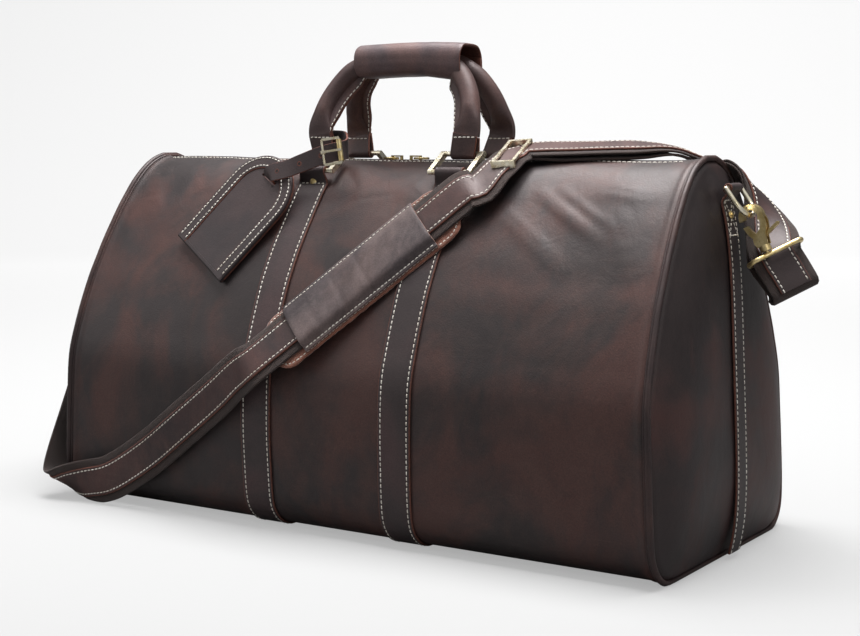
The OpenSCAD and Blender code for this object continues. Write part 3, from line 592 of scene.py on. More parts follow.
BRASS_LIGHT = metal("brass_light", "#f2ecda", "#d8caa4", rough=0.28, hollow=0.15)
BRASS_ZIP = metal("brass_zip", "#d2b676", "#94763f", rough=0.3, hollow=0.7)
EDGE_PALE = edge_leather("leather_edge_pale", "#8f7468")
# Painted shade: the dark floor put in the tag strap's holes stands for the shade inside them
HOLE_SHADE = plain("hole_painted_shade", "#120b09", "#1c100d")

# ---------------------------------------------------------------- body form
# Half section of the body from the base seam up to the zip: |y|, z
SECTION = array([
    [85, 0], [97, 2], [106, 6.5], [113, 14], [116.6, 24], [117.8, 38], [118, 60], [117.8, 88],
    [117, 116], [114.5, 132], [110, 147], [105.5, 160], [100, 174], [93.5, 189], [86, 203],
    [78, 217.5], [69, 232], [60.5, 245], [53, 255], [45, 265], [36, 274], [27, 281],
    [18, 285.6], [8, 288.6]], float)
SECTION_LINE = spline(SECTION, 6)
SECTION_PLACE = np.arange(len(SECTION_LINE)) / 6.0  # counted in rows of SECTION
SECTION_OUT = normals_2d(SECTION_LINE)
SECTION_LENGTH = arclen(SECTION_LINE)
LAST_PLACE = len(SECTION) - 1
LEATHER = 2.0  # thickness of body and end leather

# Creases: x, z of one end, x, z of the other, width, depth, side
CREASES = [
    (146, 264, 206, 232, 4.2, 1.9, FRONT), (160, 268, 214, 240, 2.6, 1.0, FRONT),
    (120, 250, 182, 212, 6, 1.4, FRONT), (196, 268, 236, 262, 6, 1.0, FRONT),
    (212, 250, 243, 205, 9, 0.8, FRONT), (-238, 265, -212, 235, 8, 1.2, FRONT),
    (-250, 240, -228, 190, 10, 0.9, FRONT), (-120, 276, -60, 262, 9, 0.7, FRONT),
    (20, 270, 62, 250, 8, 0.8, FRONT), (-20, 256, 20, 262, 9, 0.6, FRONT),
    (232, 120, 262, 60, 12, 0.7, FRONT), (-262, 110, -240, 50, 12, 0.7, FRONT),
    (90, 30, 160, 18, 9, 0.5, FRONT),
    (120, 262, 190, 236, 8, 1.0, BACK), (-160, 250, -100, 262, 8, 0.9, BACK),
    (-240, 250, -215, 200, 9, 1.0, BACK), (215, 250, 240, 190, 10, 0.9, BACK),
    (-40, 262, 30, 250, 9, 0.7, BACK), (-200, 60, -120, 30, 12, 0.6, BACK),
    (60, 50, 150, 22, 12, 0.6, BACK),
]


def half_length(z):
    return 275 - 15 * np.asarray(z, float) / 290


def section_at(place):
    point = read_at(SECTION_LINE, SECTION_PLACE, place)
    return point, unit(read_at(SECTION_OUT, SECTION_PLACE, place))


def crease(x, z, x0, z0, x1, z1, width, depth):
    dx, dz = x1 - x0, z1 - z0
    t = np.clip(((x - x0) * dx + (z - z0) * dz) / (dx * dx + dz * dz), 0, 1)
    dist2 = (x - x0 - t * dx) ** 2 + (z - z0 - t * dz) ** 2
    ridge = np.exp(-dist2 / (width * width))
    valley = 0.55 * np.exp(-dist2 / (0.10 * width * width) * 2.2)
    return depth * (ridge - valley) * (0.35 + 0.65 * np.sin(pi * np.clip(t, 0.02, 0.98)))


def relief(x, z, side):
    """Extra outward offset and sag of the body leather."""
    reach = np.abs(x)
    edge = np.maximum(half_length(z) - reach, 0)
    calm = smoothstep(2, 34, edge)  # fades the unevenness out at the end seams
    low = smoothstep(4, 40, z)
    out = 0.95 * fbm(x / 95.0 + side * 7, z / 80.0, side * 3.0, 3) * calm * low
    out = out + 0.34 * fbm(x / 33.0 + side * 11, z / 40.0, 5.0, 2) * calm * low
    belly = smoothstep(20, 90, z) * (1 - smoothstep(200, 262, z))
    out = out + 1.5 * (1 - (x / 275.0) ** 2) * belly
    # soft pull lines running down from the zip ends
    pull = smoothstep(150, 225, z) * (1 - smoothstep(272, 286, z)) * smoothstep(105, 190, reach)
    out = out + 0.55 * np.sin(reach / 21.0 + z / 26.0) * pull * calm
    for *shape, crease_side in CREASES:
        if crease_side == side:
            out = out + crease(x, z, *shape) * calm
    # rolled ridge beside the end seam, then the tuck into it
    out = out + 0.9 * bell(edge, 7.5, 2.6) - 2.3 * (1 - smoothstep(2.2, 5.6, edge))
    top = smoothstep(215, 288, z)
    waves = 0.7 * np.sin(x / 27.0) * smoothstep(262, 286, z) * smoothstep(30, 90, reach) * calm
    sag = 2.3 * bell(x, 0, 165.0) * top + waves + 0.45 * smoothstep(175, 235, reach) * top
    return out, sag


def body_point(x, place, offset, side):
    """Points offset from the leather of one side, and their outward normals."""
    x, place = np.broadcast_arrays(np.asarray(x, float), np.asarray(place, float))
    point, normal = section_at(place)
    out, sag = relief(x, point[..., 1], side)
    y = point[..., 0] + normal[..., 0] * (out + offset)
    z = point[..., 1] + normal[..., 1] * (out + offset) - sag
    return (columns(x, side * y, np.maximum(z, 0.0)),
            columns(0 * x, side * normal[..., 0], normal[..., 1]))


# Columns close to the end seam, by their distance from it; the rest are even between them
SEAM_STEPS = array([2.2, 2.8, 3.5, 4.3, 5.2, 6.3, 7.5, 8.8, 10.5, 12.5, 15, 18, 22, 27, 33])
MIDDLE_INSET = 39
ZIP_LIP = [(-1.3, 0.15), (-2.1, -0.6), (-2.3, -1.5)]  # |y|, z from the top row


def body_sheet(side, name, node):
    outer, inner, uv = [], [], []
    for place in linspace(0, LAST_PLACE, 116):
        half = float(half_length(section_at(place)[0][1]))
        near = half - SEAM_STEPS
        x = concatenate([-near, linspace(-1, 1, 150) * (half - MIDDLE_INSET), near[::-1]])
        outer.append(body_point(x, place, 0.0, side)[0])
        inner.append(body_point(x, place, -LEATHER, side)[0])
        uv.append(columns(x, np.interp(place, SECTION_PLACE, SECTION_LENGTH), 0))
    # rolled lip along the zip
    top_outer, top_inner = outer[-1], inner[-1]
    for dy, dz in ZIP_LIP:
        outer.append(top_outer + [0, side * dy, dz])
        inner.append(top_inner + [0, side * dy * 0.55, dz * 0.1])
        uv.append(uv[-1])
    piece = Piece()
    piece.slab(array(outer), array(inner), inside=2, uv=array(uv), flip=side > 0)
    # stitch row along the zip edge
    path, out = body_point(linspace(-244, 244, 240), 22.55, 0.05, side)
    piece.stitches(path, out, slot=3)
    piece.build(name, [BODY, EDGE, LINING, THREAD], "bag_body", "leather", (node,))


def base():
    """A panel turned up a little along its long sides."""
    half_x, half_y, thick = 271.5, 85.5, 1.9
    y = linspace(-half_y, half_y, 30)
    rise = 0.5 * (1 - smoothstep(2, 7, half_y - np.abs(y)))
    under = columns(linspace(-1, 1, 60)[:, None] * half_x, y, rise)
    piece = Piece()
    piece.slab(under, under + [0, 0, thick], flip=True)
    piece.build("base_leather", [TRIM, EDGE], "bag_body", "leather", ("base_panel",))


body_sheet(FRONT, "body_front", "front_panel")
body_sheet(BACK, "body_back", "back_panel")
base()


# ---------------------------------------------------------------- ends and piping
def section_ring(offset, steps):
    """The whole section as (y, z), offset outward, open along the base."""
    line = spline(SECTION, steps)
    line = line + normals_2d(line) * offset
    return concatenate([line, line[::-1] * [-1, 1]])


END_RIM = section_ring(-1.9, 5)
# Rings of the end leather, as fractions from its middle (0) to its rim (1)
END_FRACTIONS = [1, 0.992, 0.982, 0.97, 0.955, 0.935, 0.905, 0.865, 0.81, 0.74, 0.66, 0.57,
                 0.47, 0.36, 0.24, 0.12]


def end_ring(fraction, sign, offset=0.0):
    y = END_RIM[:, 0] * fraction
    z = END_MID_Z + (END_RIM[:, 1] - END_MID_Z) * fraction
    x = half_length(z) - END_INSET + END_BULGE * (1 - fraction**5)
    x = x + 0.9 * fbm(y / 60.0 + 3 * sign, z / 70.0, 2.0 * sign, 3) * (1 - fraction**4)
    x = x + 1.1 * bell(fraction, 1, 0.035) * smoothstep(0, 0.02, 1 - fraction)
    # soft folds falling from the D ring, and a dent each side of it
    folds = smoothstep(170, 270, z) * (1 - smoothstep(0.86, 1.0, fraction))
    folds = folds * smoothstep(9, 18, np.abs(y))
    x = x + 0.9 * np.sin(y / 9.0 + 0.6 * np.sin(z / 30)) * folds
    x = x - 1.3 * bell(z, 262, 13) * smoothstep(10, 24, np.abs(y)) * (1 - fraction**6)
    return columns(sign * (x + offset), y, np.maximum(z, 0.3))


def end_sheet(sign, name, node):
    n, rings = len(END_RIM), len(END_FRACTIONS)
    middle = n * rings
    inside = middle + 1  # first point of the inner sheet
    points = []
    for offset in (0.0, -LEATHER):
        x = half_length(END_MID_Z) - END_INSET + END_BULGE + offset
        points += [end_ring(fraction, sign, offset) for fraction in END_FRACTIONS]
        points.append([[sign * x, 0, END_MID_Z]])
    faces, slots = [], []
    for j in range(rings - 1):
        for i in range(n):
            a, b = j * n + i, j * n + (i + 1) % n
            quad = (a, a + n, b + n, b)
            faces += [quad, tuple(inside + v for v in quad)[::-1]]
            slots += [0, 2]
    for i in range(n):
        i2 = (i + 1) % n
        a, b = (rings - 1) * n + i, (rings - 1) * n + i2
        faces += [(a, middle, b), (inside + b, inside + middle, inside + a)]
        faces.append((i, i2, inside + i2, inside + i))
        slots += [0, 2, 1]
    if sign > 0:
        faces = [face[::-1] for face in faces]
    piece = Piece()
    piece.add(concatenate(points), faces, slots)
    piece.build(name, [END, EDGE, LINING], "bag_body", "leather", (node,))


# The piping cord, then the seam fold on the body side of it:
# inset from the half length, outward offset, radius, place in the noise
PIPES = [(1.3, 0.0, 2.35, 0), (4.2, -0.55, 1.15, 5)]


def piping(sign, name, node):
    piece = Piece()
    rim = section_ring(0.5, 6)
    rim[:, 1] = np.maximum(rim[:, 1], 0.0)
    out = normals_2d(concatenate([rim[-3:], rim, rim[:3]]))[3:-3]
    angle = np.arange(14) * 2 * pi / 14
    for inset, offset, radius, seed in PIPES:
        wobble = 0.22 * fbm(np.arange(len(rim)) / 9.0, seed, sign, 2)
        x = sign * (half_length(rim[:, 1]) - inset - wobble)
        radial = offset + radius * np.sin(angle)
        rings = columns(x[:, None] + sign * radius * np.cos(angle),
                        rim[:, :1] + out[:, :1] * radial, rim[:, 1:] + out[:, 1:] * radial)
        rings[..., 2] = np.maximum(rings[..., 2], 0.05)
        piece.skin(rings[:, ::-1] if sign < 0 else rings, closed=True)
    piece.build(name, [PIPING], "bag_body", "leather_trim", (node,))


end_sheet(RIGHT, "end_leather_right", "end_panel_right")
end_sheet(LEFT, "end_leather_left", "end_panel_left")
piping(RIGHT, "piping_leather_right", "piping_right")
piping(LEFT, "piping_leather_left", "piping_left")

# ---------------------------------------------------------------- zip tape
# Section of the tape from the teeth outward: |y|, z
TAPE_SECTION = array([(3.0, 283.75), (4.2, 283.9), (5.6, 284.15), (7.2, 284.3), (9.5, 284.2),
                      (12.5, 283.6)])


def zip_tape(side, place):
    thick, lift = 0.8, 0.5
    x = linspace(-247, 247, 180)[:, None]
    y, z = TAPE_SECTION.T
    ripple = 0.25 * np.sin(x / 13.0) * (y - 3) / 9
    top = columns(x, side * y, z + lift + ripple)
    piece = Piece()
    piece.slab(top, top - [0, 0, thick], edge=0, uv=columns(x, y, 0), flip=side < 0)
    piece.build("zip_tape_cloth_" + place, [ZIP_TAPE], "bag_body", "zip_tape",
                ("zip_tape_" + place,))


zip_tape(FRONT, "front")
zip_tape(BACK, "back")


# ---------------------------------------------------------------- strips
def over_bar(body, bar, radius, start, sweep, loop_count, link_count):
    """Carry a flat path on from its last point and round a ring's bar."""
    loop = arc(bar, radius, start, start + sweep, loop_count)
    return concatenate([body, linspace(body[-1], loop[0], link_count)[1:-1], loop])


def even_path(path):
    """The path in even steps and smoothed, its lengths, and the lengths of the old points."""
    old = arclen(path)
    places = linspace(0, old[-1], int(old[-1] / 2.2))
    line = read_at(path, old, places)
    line[2:-2] = (line[1:-3] + 2 * line[2:-2] + line[3:-1]) / 4
    return line, places, old


def side_strip(sign, side, place):
    """Vertical strip: up the body, through the ring, and back under itself."""
    x = sign * RING_X
    wide, narrow = 14.5, 12.4  # half widths on the body and through the ring
    row = 0.80  # stitch rows, as a share of the half width
    body = body_point(x, linspace(0.2, 19.4, 110), 0.95, side)[0][:, 1:]
    bar = array([side * RING_LOWER[0], RING_LOWER[1]])
    dy, dz = bar - body[-1]
    start = degrees(atan2(dz, dy)) - 90 * side  # meets the bar on its outer side
    flat = over_bar(body, bar, radius=3.4, start=start, sweep=215 * side,
                    loop_count=22, link_count=9)
    path, places, old = even_path(columns(x, flat[:, 0], flat[:, 1]))
    top = old[len(body) - 1]
    half = np.interp(places, [0, top - 2, top + 8, old[-1]], [wide, wide, narrow, narrow])
    piece = Piece()
    band = leather_band(piece, path, [side, 0, 0], half, low=-0.8, high=0.85, row=row)
    count = int(np.searchsorted(places, top))
    on_body = slice(0, count + 1)
    across, out = band.across[on_body], band.out[on_body]
    for sg in (-1, 1):
        shift = (sg * row * half[on_body])[:, None]
        piece.stitches(path[on_body] + across * shift + out * 0.68, out)
    # cross stitch below the ring
    c = count - 1
    line = path[c] + ENDS * row * half[c] * across[c] + out[c] * 0.8
    piece.stitches(line, out[c], pitch=3.9, length=2.7)
    piece.build("strip_leather_" + place, [TRIM, EDGE_DARK, THREAD], "bag_body",
                "leather_trim", ("strip_" + place,))


def end_strip(sign, place):
    """Strip up the middle of an end, round the D ring's bar and back."""
    half, row = 10.0, 7.2  # half width and stitch rows
    z = linspace(4, 259, 100)
    bulge = END_BULGE * (1 - np.minimum(1, np.abs(z - END_MID_Z) / 150) ** 5)
    body = columns(half_length(z) - END_INSET + bulge + 1.35, z)
    flat = over_bar(body, D_RING, radius=3.35, start=10, sweep=225,
                    loop_count=20, link_count=6)
    path, places, old = even_path(columns(sign * flat[:, 0], 0, flat[:, 1]))
    top = old[len(body) - 1]
    piece = Piece()
    band = leather_band(piece, path, [0, -sign, 0], half, low=-0.8, high=0.9, row=row / half)
    count = int(np.searchsorted(places, top)) + 1
    across, out = band.across, band.out
    for sg in (-1, 1):
        line = path + across * (sg * row) + out * 0.72
        piece.stitches(line[:count], out[:count])
    # box and cross under the ring
    first = int(np.searchsorted(places, top - 26))
    for i in (first, count - 1):
        line = path[i] + ENDS * row * across[i] + out[i] * 0.9
        piece.stitches(line, out[i], pitch=3.7, length=2.6)
    box = slice(first, count)
    for sg in (-1, 1):
        shift = (sg * linspace(-7.0, 7.0, count - first))[:, None]
        line = path[box] + across[box] * shift + out[box] * 0.92
        piece.stitches(line, out[box], pitch=3.7, length=2.6)
    piece.build("end_strip_leather_" + place, [TRIM, EDGE_DARK, THREAD], "bag_body",
                "leather_trim", ("end_strip_" + place,))


side_strip(LEFT, FRONT, "front_left")
side_strip(RIGHT, FRONT, "front_right")
side_strip(LEFT, BACK, "back_left")
side_strip(RIGHT, BACK, "back_right")
end_strip(RIGHT, "right")
end_strip(LEFT, "left")

# ---------------------------------------------------------------- handles
# Left half of the front handle's middle line: x, y, z
HALF_HANDLE = [
    [-71, -27, 305], [-71.5, -26, 314], [-69.5, -21.5, 326], [-65.5, -17, 337.5],
    [-58.5, -13, 348.5], [-49, -10.5, HANDLE_TOP - 7], [-36, -9.6, HANDLE_TOP - 1.5],
    [-18, -9.4, HANDLE_TOP]]
HANDLE_LINE = (HALF_HANDLE + [[0, -9.4, HANDLE_TOP]]
               + [[-x, y, z] for x, y, z in HALF_HANDLE[::-1]])
HANDLE_RING = 26  # points round the section
HANDLE_RADIUS = 7.9
FLANGE = 14.2  # reach of the flange from the middle line
FLANGE_HALF = 1.55  # half its thickness
TAB_HALF = 10.9  # half width of the tabs


def handle_section(place, to_end, held, side):
    """Tube with a flange on the arch's inner side, flattening into a tab at the ends."""
    tube = smoothstep(2, 24, to_end)
    r = HANDLE_RADIUS + 0.15 * sin(place / 11.0) - 0.5 * held
    reach = FLANGE + 0.9 * sin(place / 17.0 + side) + 1.2 * (1 - smoothstep(10, 50, to_end))
    reach = reach + (8.6 - reach) * held  # folded flat where the wrap holds it
    open_angle = np.arcsin(FLANGE_HALF / r)
    root = r * cos(open_angle)
    # one face of the flange, the other, then round the tube
    points = [(root + u * (reach - root), FLANGE_HALF) for u in (0.0, 0.5, 1.0)]
    points += [(root + u * (reach - root), -FLANGE_HALF) for u in (1.0, 0.5, 0.0)]
    turns = linspace(-open_angle, -2 * pi + open_angle, HANDLE_RING - 4)[1:-1]
    points = array(points + [(r * cos(a), r * sin(a)) for a in turns])
    flat = columns(1.6 + np.clip(points[:, 0] * 1.5, -TAB_HALF, TAB_HALF),
                   np.clip(points[:, 1], -2.1, 2.1))
    return points * tube + flat * (1 - tube)


def ring_tab(piece, end, sign, side):
    """Tab folded round the ring's upper bar: outer side down, round, inner side up."""
    start = 90 - 85 * side
    loop = arc((side * RING_UPPER[0], RING_UPPER[1]), 3.4, start, start - 190 * side, 18)
    outer_top = array([end[1] + side * 1.75, 306.5])
    inner_top = array([end[1] - side * 1.75, 305.5])
    flat = concatenate([linspace(outer_top, loop[0], 8)[:-1], loop,
                        linspace(loop[-1], inner_top, 8)[1:]])
    x = np.interp(flat[:, 1], [291, 306], [66.2, 69.4]) * sign
    path = columns(x, flat[:, 0], flat[:, 1])
    leather_band(piece, path, [-side, 0, 0], TAB_HALF, low=-0.85, high=0.85, row=0.8)
    for facing, i in ((1, 1), (-1, len(path) - 2)):
        out = array([0, side * facing, 0.0])
        line = path[i] + ENDS * array([9.4, 0, 0]) + out * 0.95
        piece.stitches(line, out, pitch=3.9, length=2.8)


def handle(side, place):
    line = spline(HANDLE_LINE, 9)
    line[:, 1] *= -side
    held = 1 - smoothstep(44, 60, np.abs(line[:, 0] - WRAP_X))
    held = held * smoothstep(350, 358, line[:, 2])
    line[:, 1] -= side * 1.3 * held
    along = tangents(line)
    places = arclen(line)
    total = places[-1]
    # face: across the arch; inward: in its plane, toward the bag
    face = unit(np.cross(along, np.cross([0, 1.0, 0], along)))
    inward = unit(np.cross(face, along))
    middle = array([0, line[:, 1].mean(), 318.0])
    inward = inward * np.sign(((middle - line) * inward).sum(1, keepdims=True))
    rings = []
    for i, s in enumerate(places):
        section = handle_section(s, min(s, total - s), held[i], side)
        rings.append(line[i] + section[:, :1] * inward[i] + section[:, 1:] * face[i])
    rings = array(rings)
    slots = [0] * HANDLE_RING
    slots[2] = 1  # the flange's cut tip
    piece = Piece()
    piece.skin(rings, ring_slots=slots, cap_slot=1,
               uv=columns(places[:, None], np.arange(HANDLE_RING) * 2.0, 0))
    # stitches along the flange on both faces
    keep = (places > 3) & (places < total - 3)
    for middle_point, tip_point, sg in ((1, 2, 1), (4, 3, -1)):
        row = rings[:, middle_point] * 0.25 + rings[:, tip_point] * 0.75
        piece.stitches(row[keep], (face * sg)[keep])
    for sign, end in ((LEFT, line[0]), (RIGHT, line[-1])):
        ring_tab(piece, end, sign, side)
    name = place + "_handle"
    piece.build("handle_leather_" + place, [HANDLE, EDGE, THREAD], name, "leather_handle",
                (name + "_cover", name + "_core"))


handle(FRONT, "front")
handle(BACK, "back")

# ---------------------------------------------------------------- wrap round the handles
# Both sheets are flat paths in (y, z) carried along x. They meet on top, at the fold line.
WRAP_FOLD = [-2.0, HANDLE_TOP + 13.7]
# Corners of the grip from top front down and under: y, z, first angle
GRIP_RADIUS = 11.2
GRIP_FRONT, GRIP_BACK = -19.8 + GRIP_RADIUS, 21.3 - GRIP_RADIUS
GRIP_TOP, GRIP_BOTTOM = HANDLE_TOP + 13.7 - GRIP_RADIUS, HANDLE_TOP - 12.6 + GRIP_RADIUS
GRIP_CORNERS = [(GRIP_FRONT, GRIP_TOP, 90), (GRIP_FRONT, GRIP_BOTTOM, 180),
                (GRIP_BACK, GRIP_BOTTOM, 270)]
# The flap from the fold line over the back: y, height over the handles' line
FLAP = [[-2.0, 13.7], [3, 13.75], [9, 13.6], [14.8, 12.7], [19.9, 9.6], [22.9, 5.0], [23.8, 0],
        [23.9, -5], [23.8, -10.5]]


def wrap_sheet(path, thickness):
    """A rolled leather sheet, arched along its length and drooping to the right."""
    half = WRAP_LENGTH / 2
    left, right = WRAP_X - half, WRAP_X + half
    x = np.unique(concatenate([[left, left + 0.5, left + 1.4], linspace(left + 4, right - 4, 34),
                               [right - 1.4, right - 0.5, right]]))[:, None]
    out = normals_2d(path)
    places = arclen(path)
    u = (x - WRAP_X) / half
    rounding = 0.5 * (1 - smoothstep(0, 1.3, np.minimum(x - left, right - x)))
    wobble = 0.35 * fbm(x / 16.0, places / 15.0, 3.3, 2)
    high = np.clip((HANDLE_TOP + 12 - path[:, 1]) / 24, 0, 1)
    droop = 3.4 * smoothstep(0.0, 1.0, u) * high + 0.9 * np.maximum(u, 0) ** 2
    rise = 0.9 * (1 - u * u) - droop
    # the cut ends lean: the back of the roll is a little shorter
    back = np.clip((path[:, 0] + 12) / 36, 0, 1)
    across = x - (5.0 * smoothstep(0.5, 1.0, u) - 2.0 * smoothstep(0.5, 1.0, -u)) * back
    sheets = []
    for offset in (wobble - rounding, wobble + rounding - thickness):
        sheets.append(columns(across, path[:, 0] + out[:, 0] * offset,
                              path[:, 1] + out[:, 1] * offset + rise))
    piece = Piece()
    piece.slab(*sheets, inside=1, uv=columns(x, places, 0), flip=True)
    return piece


def wrap_grip():
    corners = [arc((y, z), GRIP_RADIUS, a, a + 90, 12) for y, z, a in GRIP_CORNERS]
    tail = [[21.3, HANDLE_TOP + 1.5], [21.1, HANDLE_TOP + 4.5]]
    piece = wrap_sheet(respace(concatenate([[WRAP_FOLD], *corners, tail]), 96), 2.2)
    piece.build("wrap_leather_grip", [WRAP, EDGE], "front_handle", "leather_handle",
                ("wrap_grip",))


def wrap_flap():
    path = array(FLAP) + [0, HANDLE_TOP]
    piece = wrap_sheet(respace(spline(path, 6), 46)[::-1], 2.1)
    ob = piece.build("wrap_leather_flap", [WRAP, EDGE], None, "leather_handle", ("wrap_flap",))
    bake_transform(ob)


wrap_grip()
wrap_flap()

# ---------------------------------------------------------------- the slope of the front
SLOPE = radians(62.1)  # tilt of the plane on which the pad and the tag lie
SLOPE_OUT = array([0, -sin(SLOPE), cos(SLOPE)])


def on_slope(origin, turn):
    """A placer for a piece turned on the slope: along, across, height off the plane."""
    def place(along, across, height):
        x = origin[0] + along * cos(turn) - across * sin(turn)
        up = origin[1] + along * sin(turn) + across * cos(turn)
        return columns(x, up * cos(SLOPE) - height * sin(SLOPE),
                       up * sin(SLOPE) + height * cos(SLOPE))
    return place


# ---------------------------------------------------------------- strap
PAD_TURN = radians(45.5)
PAD_HEIGHT = 177.6
pad_xyz = on_slope((16, 131.3), PAD_TURN)
PAD_ACROSS = array([-sin(PAD_TURN), cos(PAD_TURN) * cos(SLOPE), cos(PAD_TURN) * sin(SLOPE)])

# The hooks hang from the D rings. The strap's two ends turn through their eyes.
RING_SWING, RING_REACH = radians(36), 23.5
HOOK_TILT = radians(26)
HOOK_DOWN = array([sin(HOOK_TILT), 0, -cos(HOOK_TILT)])  # right hook
HOOK_TOP = (array([D_RING[0], 0, D_RING[1]]) + HOOK_DOWN * 1.2
            + RING_REACH * array([sin(RING_SWING), 0, -cos(RING_SWING)]))
HOOK_END = HOOK_TOP + 29.2 * HOOK_DOWN
EYE_ALONG = unit([0.53, 0.0, -0.81])
EYE_OUT = unit(np.cross(EYE_ALONG, unit([0.61, 0.68, 0.40])))
EYE_ACROSS = unit(np.cross(EYE_OUT, EYE_ALONG))
EYE_RIGHT = HOOK_END + EYE_ACROSS * 8 - EYE_OUT * 6.5
EYE_LEFT = (HOOK_END + 13 * HOOK_DOWN) * [-1, 1, 1]

# The strap's middle line from the left hook to the right one: point, width direction
STRAP_LINE = [
    [EYE_LEFT + [8.5, -14, -36], [0, -0.95, 0.3]], [EYE_LEFT + [5.6, -3, -18], [0, -1, 0.1]],
    [EYE_LEFT + [4.6, 0, -4], [0, -1, 0]], [EYE_LEFT + [3.2, 0, 2.6], [0, -1, 0]],
    [EYE_LEFT + [0, 0, 4.4], [0, -1, 0]], [EYE_LEFT + [-3.4, 0, 2.4], [0, -1, 0]],
    [EYE_LEFT + [-4.6, -0.5, -4], [0, -1, 0.05]],
    [EYE_LEFT + [-3.4, -5, -20], [0, -0.95, 0.3]], [EYE_LEFT + [1, -19, -44], [0, -0.88, 0.47]],
    [[-300, -44, 136], [0, -0.86, 0.5]], [[-293.5, -72, 98], [0, -0.88, 0.47]],
    [[-291.5, -92, 62], [0, -0.86, 0.5]], [[-289.5, -104.5, 36], [-0.15, -0.85, 0.5]],
    [[-284.5, -113.5, 18.5], [-0.4, -0.8, 0.45]], [[-274, -121.5, 13], [-0.58, -0.62, 0.52]],
    [[-258, -126, 14.6], [-0.58, -0.36, 0.68]], [[-240, -126.4, 17.4], [-0.53, -0.14, 0.8]],
    [[-214, -125.5, 24.5], [-0.48, -0.03, 0.86]], [[-174.4, -124.6, 48], [-0.5, 0, 0.86]],
    [[-132.5, -125, 79], [-0.58, 0.02, 0.81]], [[-100, -126.5, 103], [-0.64, 0.1, 0.76]],
    [[-78, -128.8, 120], [-0.68, 0.2, 0.7]],
    *([pad_xyz(along, 0.0, PAD_HEIGHT), PAD_ACROSS] for along in (-106, -66, -33, 0, 33, 66, 103)),
    [[97.5, -55, 267.2], [-0.6, 0.52, 0.6]], [[103.5, -41.4, 279], [-0.42, 0.74, 0.52]],
    [[106.5, -26.5, 288], [-0.22, 0.88, 0.42]], [[111, -14, 293], [-0.05, 0.95, 0.3]],
    [[122, -7, 295.4], [0, 0.96, 0.27]], [[155, 0, 296], [0, 0.97, 0.24]],
    [[195, 9, 296.8], [0, 0.98, 0.2]], [[225, 23, 293.8], [0.1, 0.98, -0.12]],
    [[248, 38, 280.5], [0.1, 0.84, -0.53]], [[264, 42.5, 275], [0.05, 0.84, -0.54]],
    [[276.5, 42.5, 264], [0.12, 0.92, -0.36]], [[287.5, 36.5, 250.5], [0.28, 0.95, 0.0]],
    [EYE_RIGHT + [-8.4, 14, 14.5], [0.46, 0.83, 0.32]],
    [EYE_RIGHT, EYE_ACROSS], [EYE_RIGHT + EYE_ALONG * 16, EYE_ACROSS],
    [EYE_RIGHT + EYE_ALONG * 27, EYE_ACROSS]]
STRAP_STEPS = 10
FACING_ROW = 7  # row of STRAP_LINE where the leather facing starts
RETURN_ROW = 31  # row just before which the doubled-back end stops
TURN_RADIUS = 5.1


def strap_paths():
    """Even path and width directions of the webbing, and the facing's range on it."""
    line = spline([row[0] for row in STRAP_LINE], STRAP_STEPS)
    width = unit(spline([row[1] for row in STRAP_LINE], STRAP_STEPS))
    out = unit(np.cross(tangents(line), width))
    end = len(line) - 1
    # gap between the strap and its return, wider round the hook's eye
    eye_distance = np.linalg.norm(line - EYE_RIGHT, axis=1)
    gap = 2.6 + 7.9 * np.exp(-eye_distance * eye_distance / 500)
    x = line[:, 0]
    gap = gap + 1.7 * smoothstep(122, 150, x) * (1 - smoothstep(205, 235, x))
    angle = np.radians(np.arange(15, 180, 15))[:, None]
    turn = (line[end] - EYE_OUT * TURN_RADIUS + EYE_OUT * (TURN_RADIUS * np.cos(angle))
            + EYE_ALONG * (TURN_RADIUS * np.sin(angle)))
    back = np.arange(end - 1, RETURN_ROW * STRAP_STEPS + 2 * STRAP_STEPS // 3, -1)
    path = concatenate([line, turn, line[back] - out[back] * gap[back][:, None]])
    width = concatenate([width, np.tile(EYE_ACROSS, (len(turn), 1)), width[back]])
    lengths = arclen(path)
    places = linspace(0, lengths[-1], int(lengths[-1] / 3.2))
    first = int(np.searchsorted(places, lengths[FACING_ROW * STRAP_STEPS]))
    last = int(np.searchsorted(places, lengths[end]))
    return (read_at(path, lengths, places), unit(read_at(width, lengths, places)),
            slice(first, last + 1))


def strap():
    path, width, faced = strap_paths()
    profile = array([(u, 1.0) for u in linspace(-0.96, 0.96, 11)] + [(1.0, 0.5), (1.0, -0.5)]
                    + [(u, -1.0) for u in linspace(0.96, -0.96, 7)] + [(-1.0, -0.5), (-1.0, 0.5)])
    piece = Piece()
    band = ribbon(path, width, profile, 19.0, floor=0.4)
    piece.skin(band.rings, uv=band.uv)
    piece.build("strap_webbing_woven", [WEBBING], "bag_body", "webbing", ("strap_webbing",),
                angle=60)

    half, row = 12.5, 0.80
    piece = Piece()
    band = leather_band(piece, path[faced], width[faced], half, low=1.1, high=2.75, row=row,
                        floor=0.5)
    for sg in (-1, 1):
        line = path[faced] + band.across * (sg * row * half) + band.out * 2.6
        piece.stitches(line, band.out, pitch=3.9, length=2.8)
    piece.build("strap_leather_facing", [STRAP, EDGE, THREAD], "bag_body", "leather_strap",
                ("strap_facing",))


strap()

# ---------------------------------------------------------------- shoulder pad
SLEEVE_LENGTH = 129
# Suede rim from top to underside: offset outward from the outline, height
SUEDE_RIM = [(-9.0, 2.35), (-5.0, 2.4), (-2.6, 2.15), (-1.2, 2.35), (-0.2, 1.9), (0.25, 1.2),
             (-0.2, 0.35), (-1.5, 0.0), (-9.0, 0.0)]


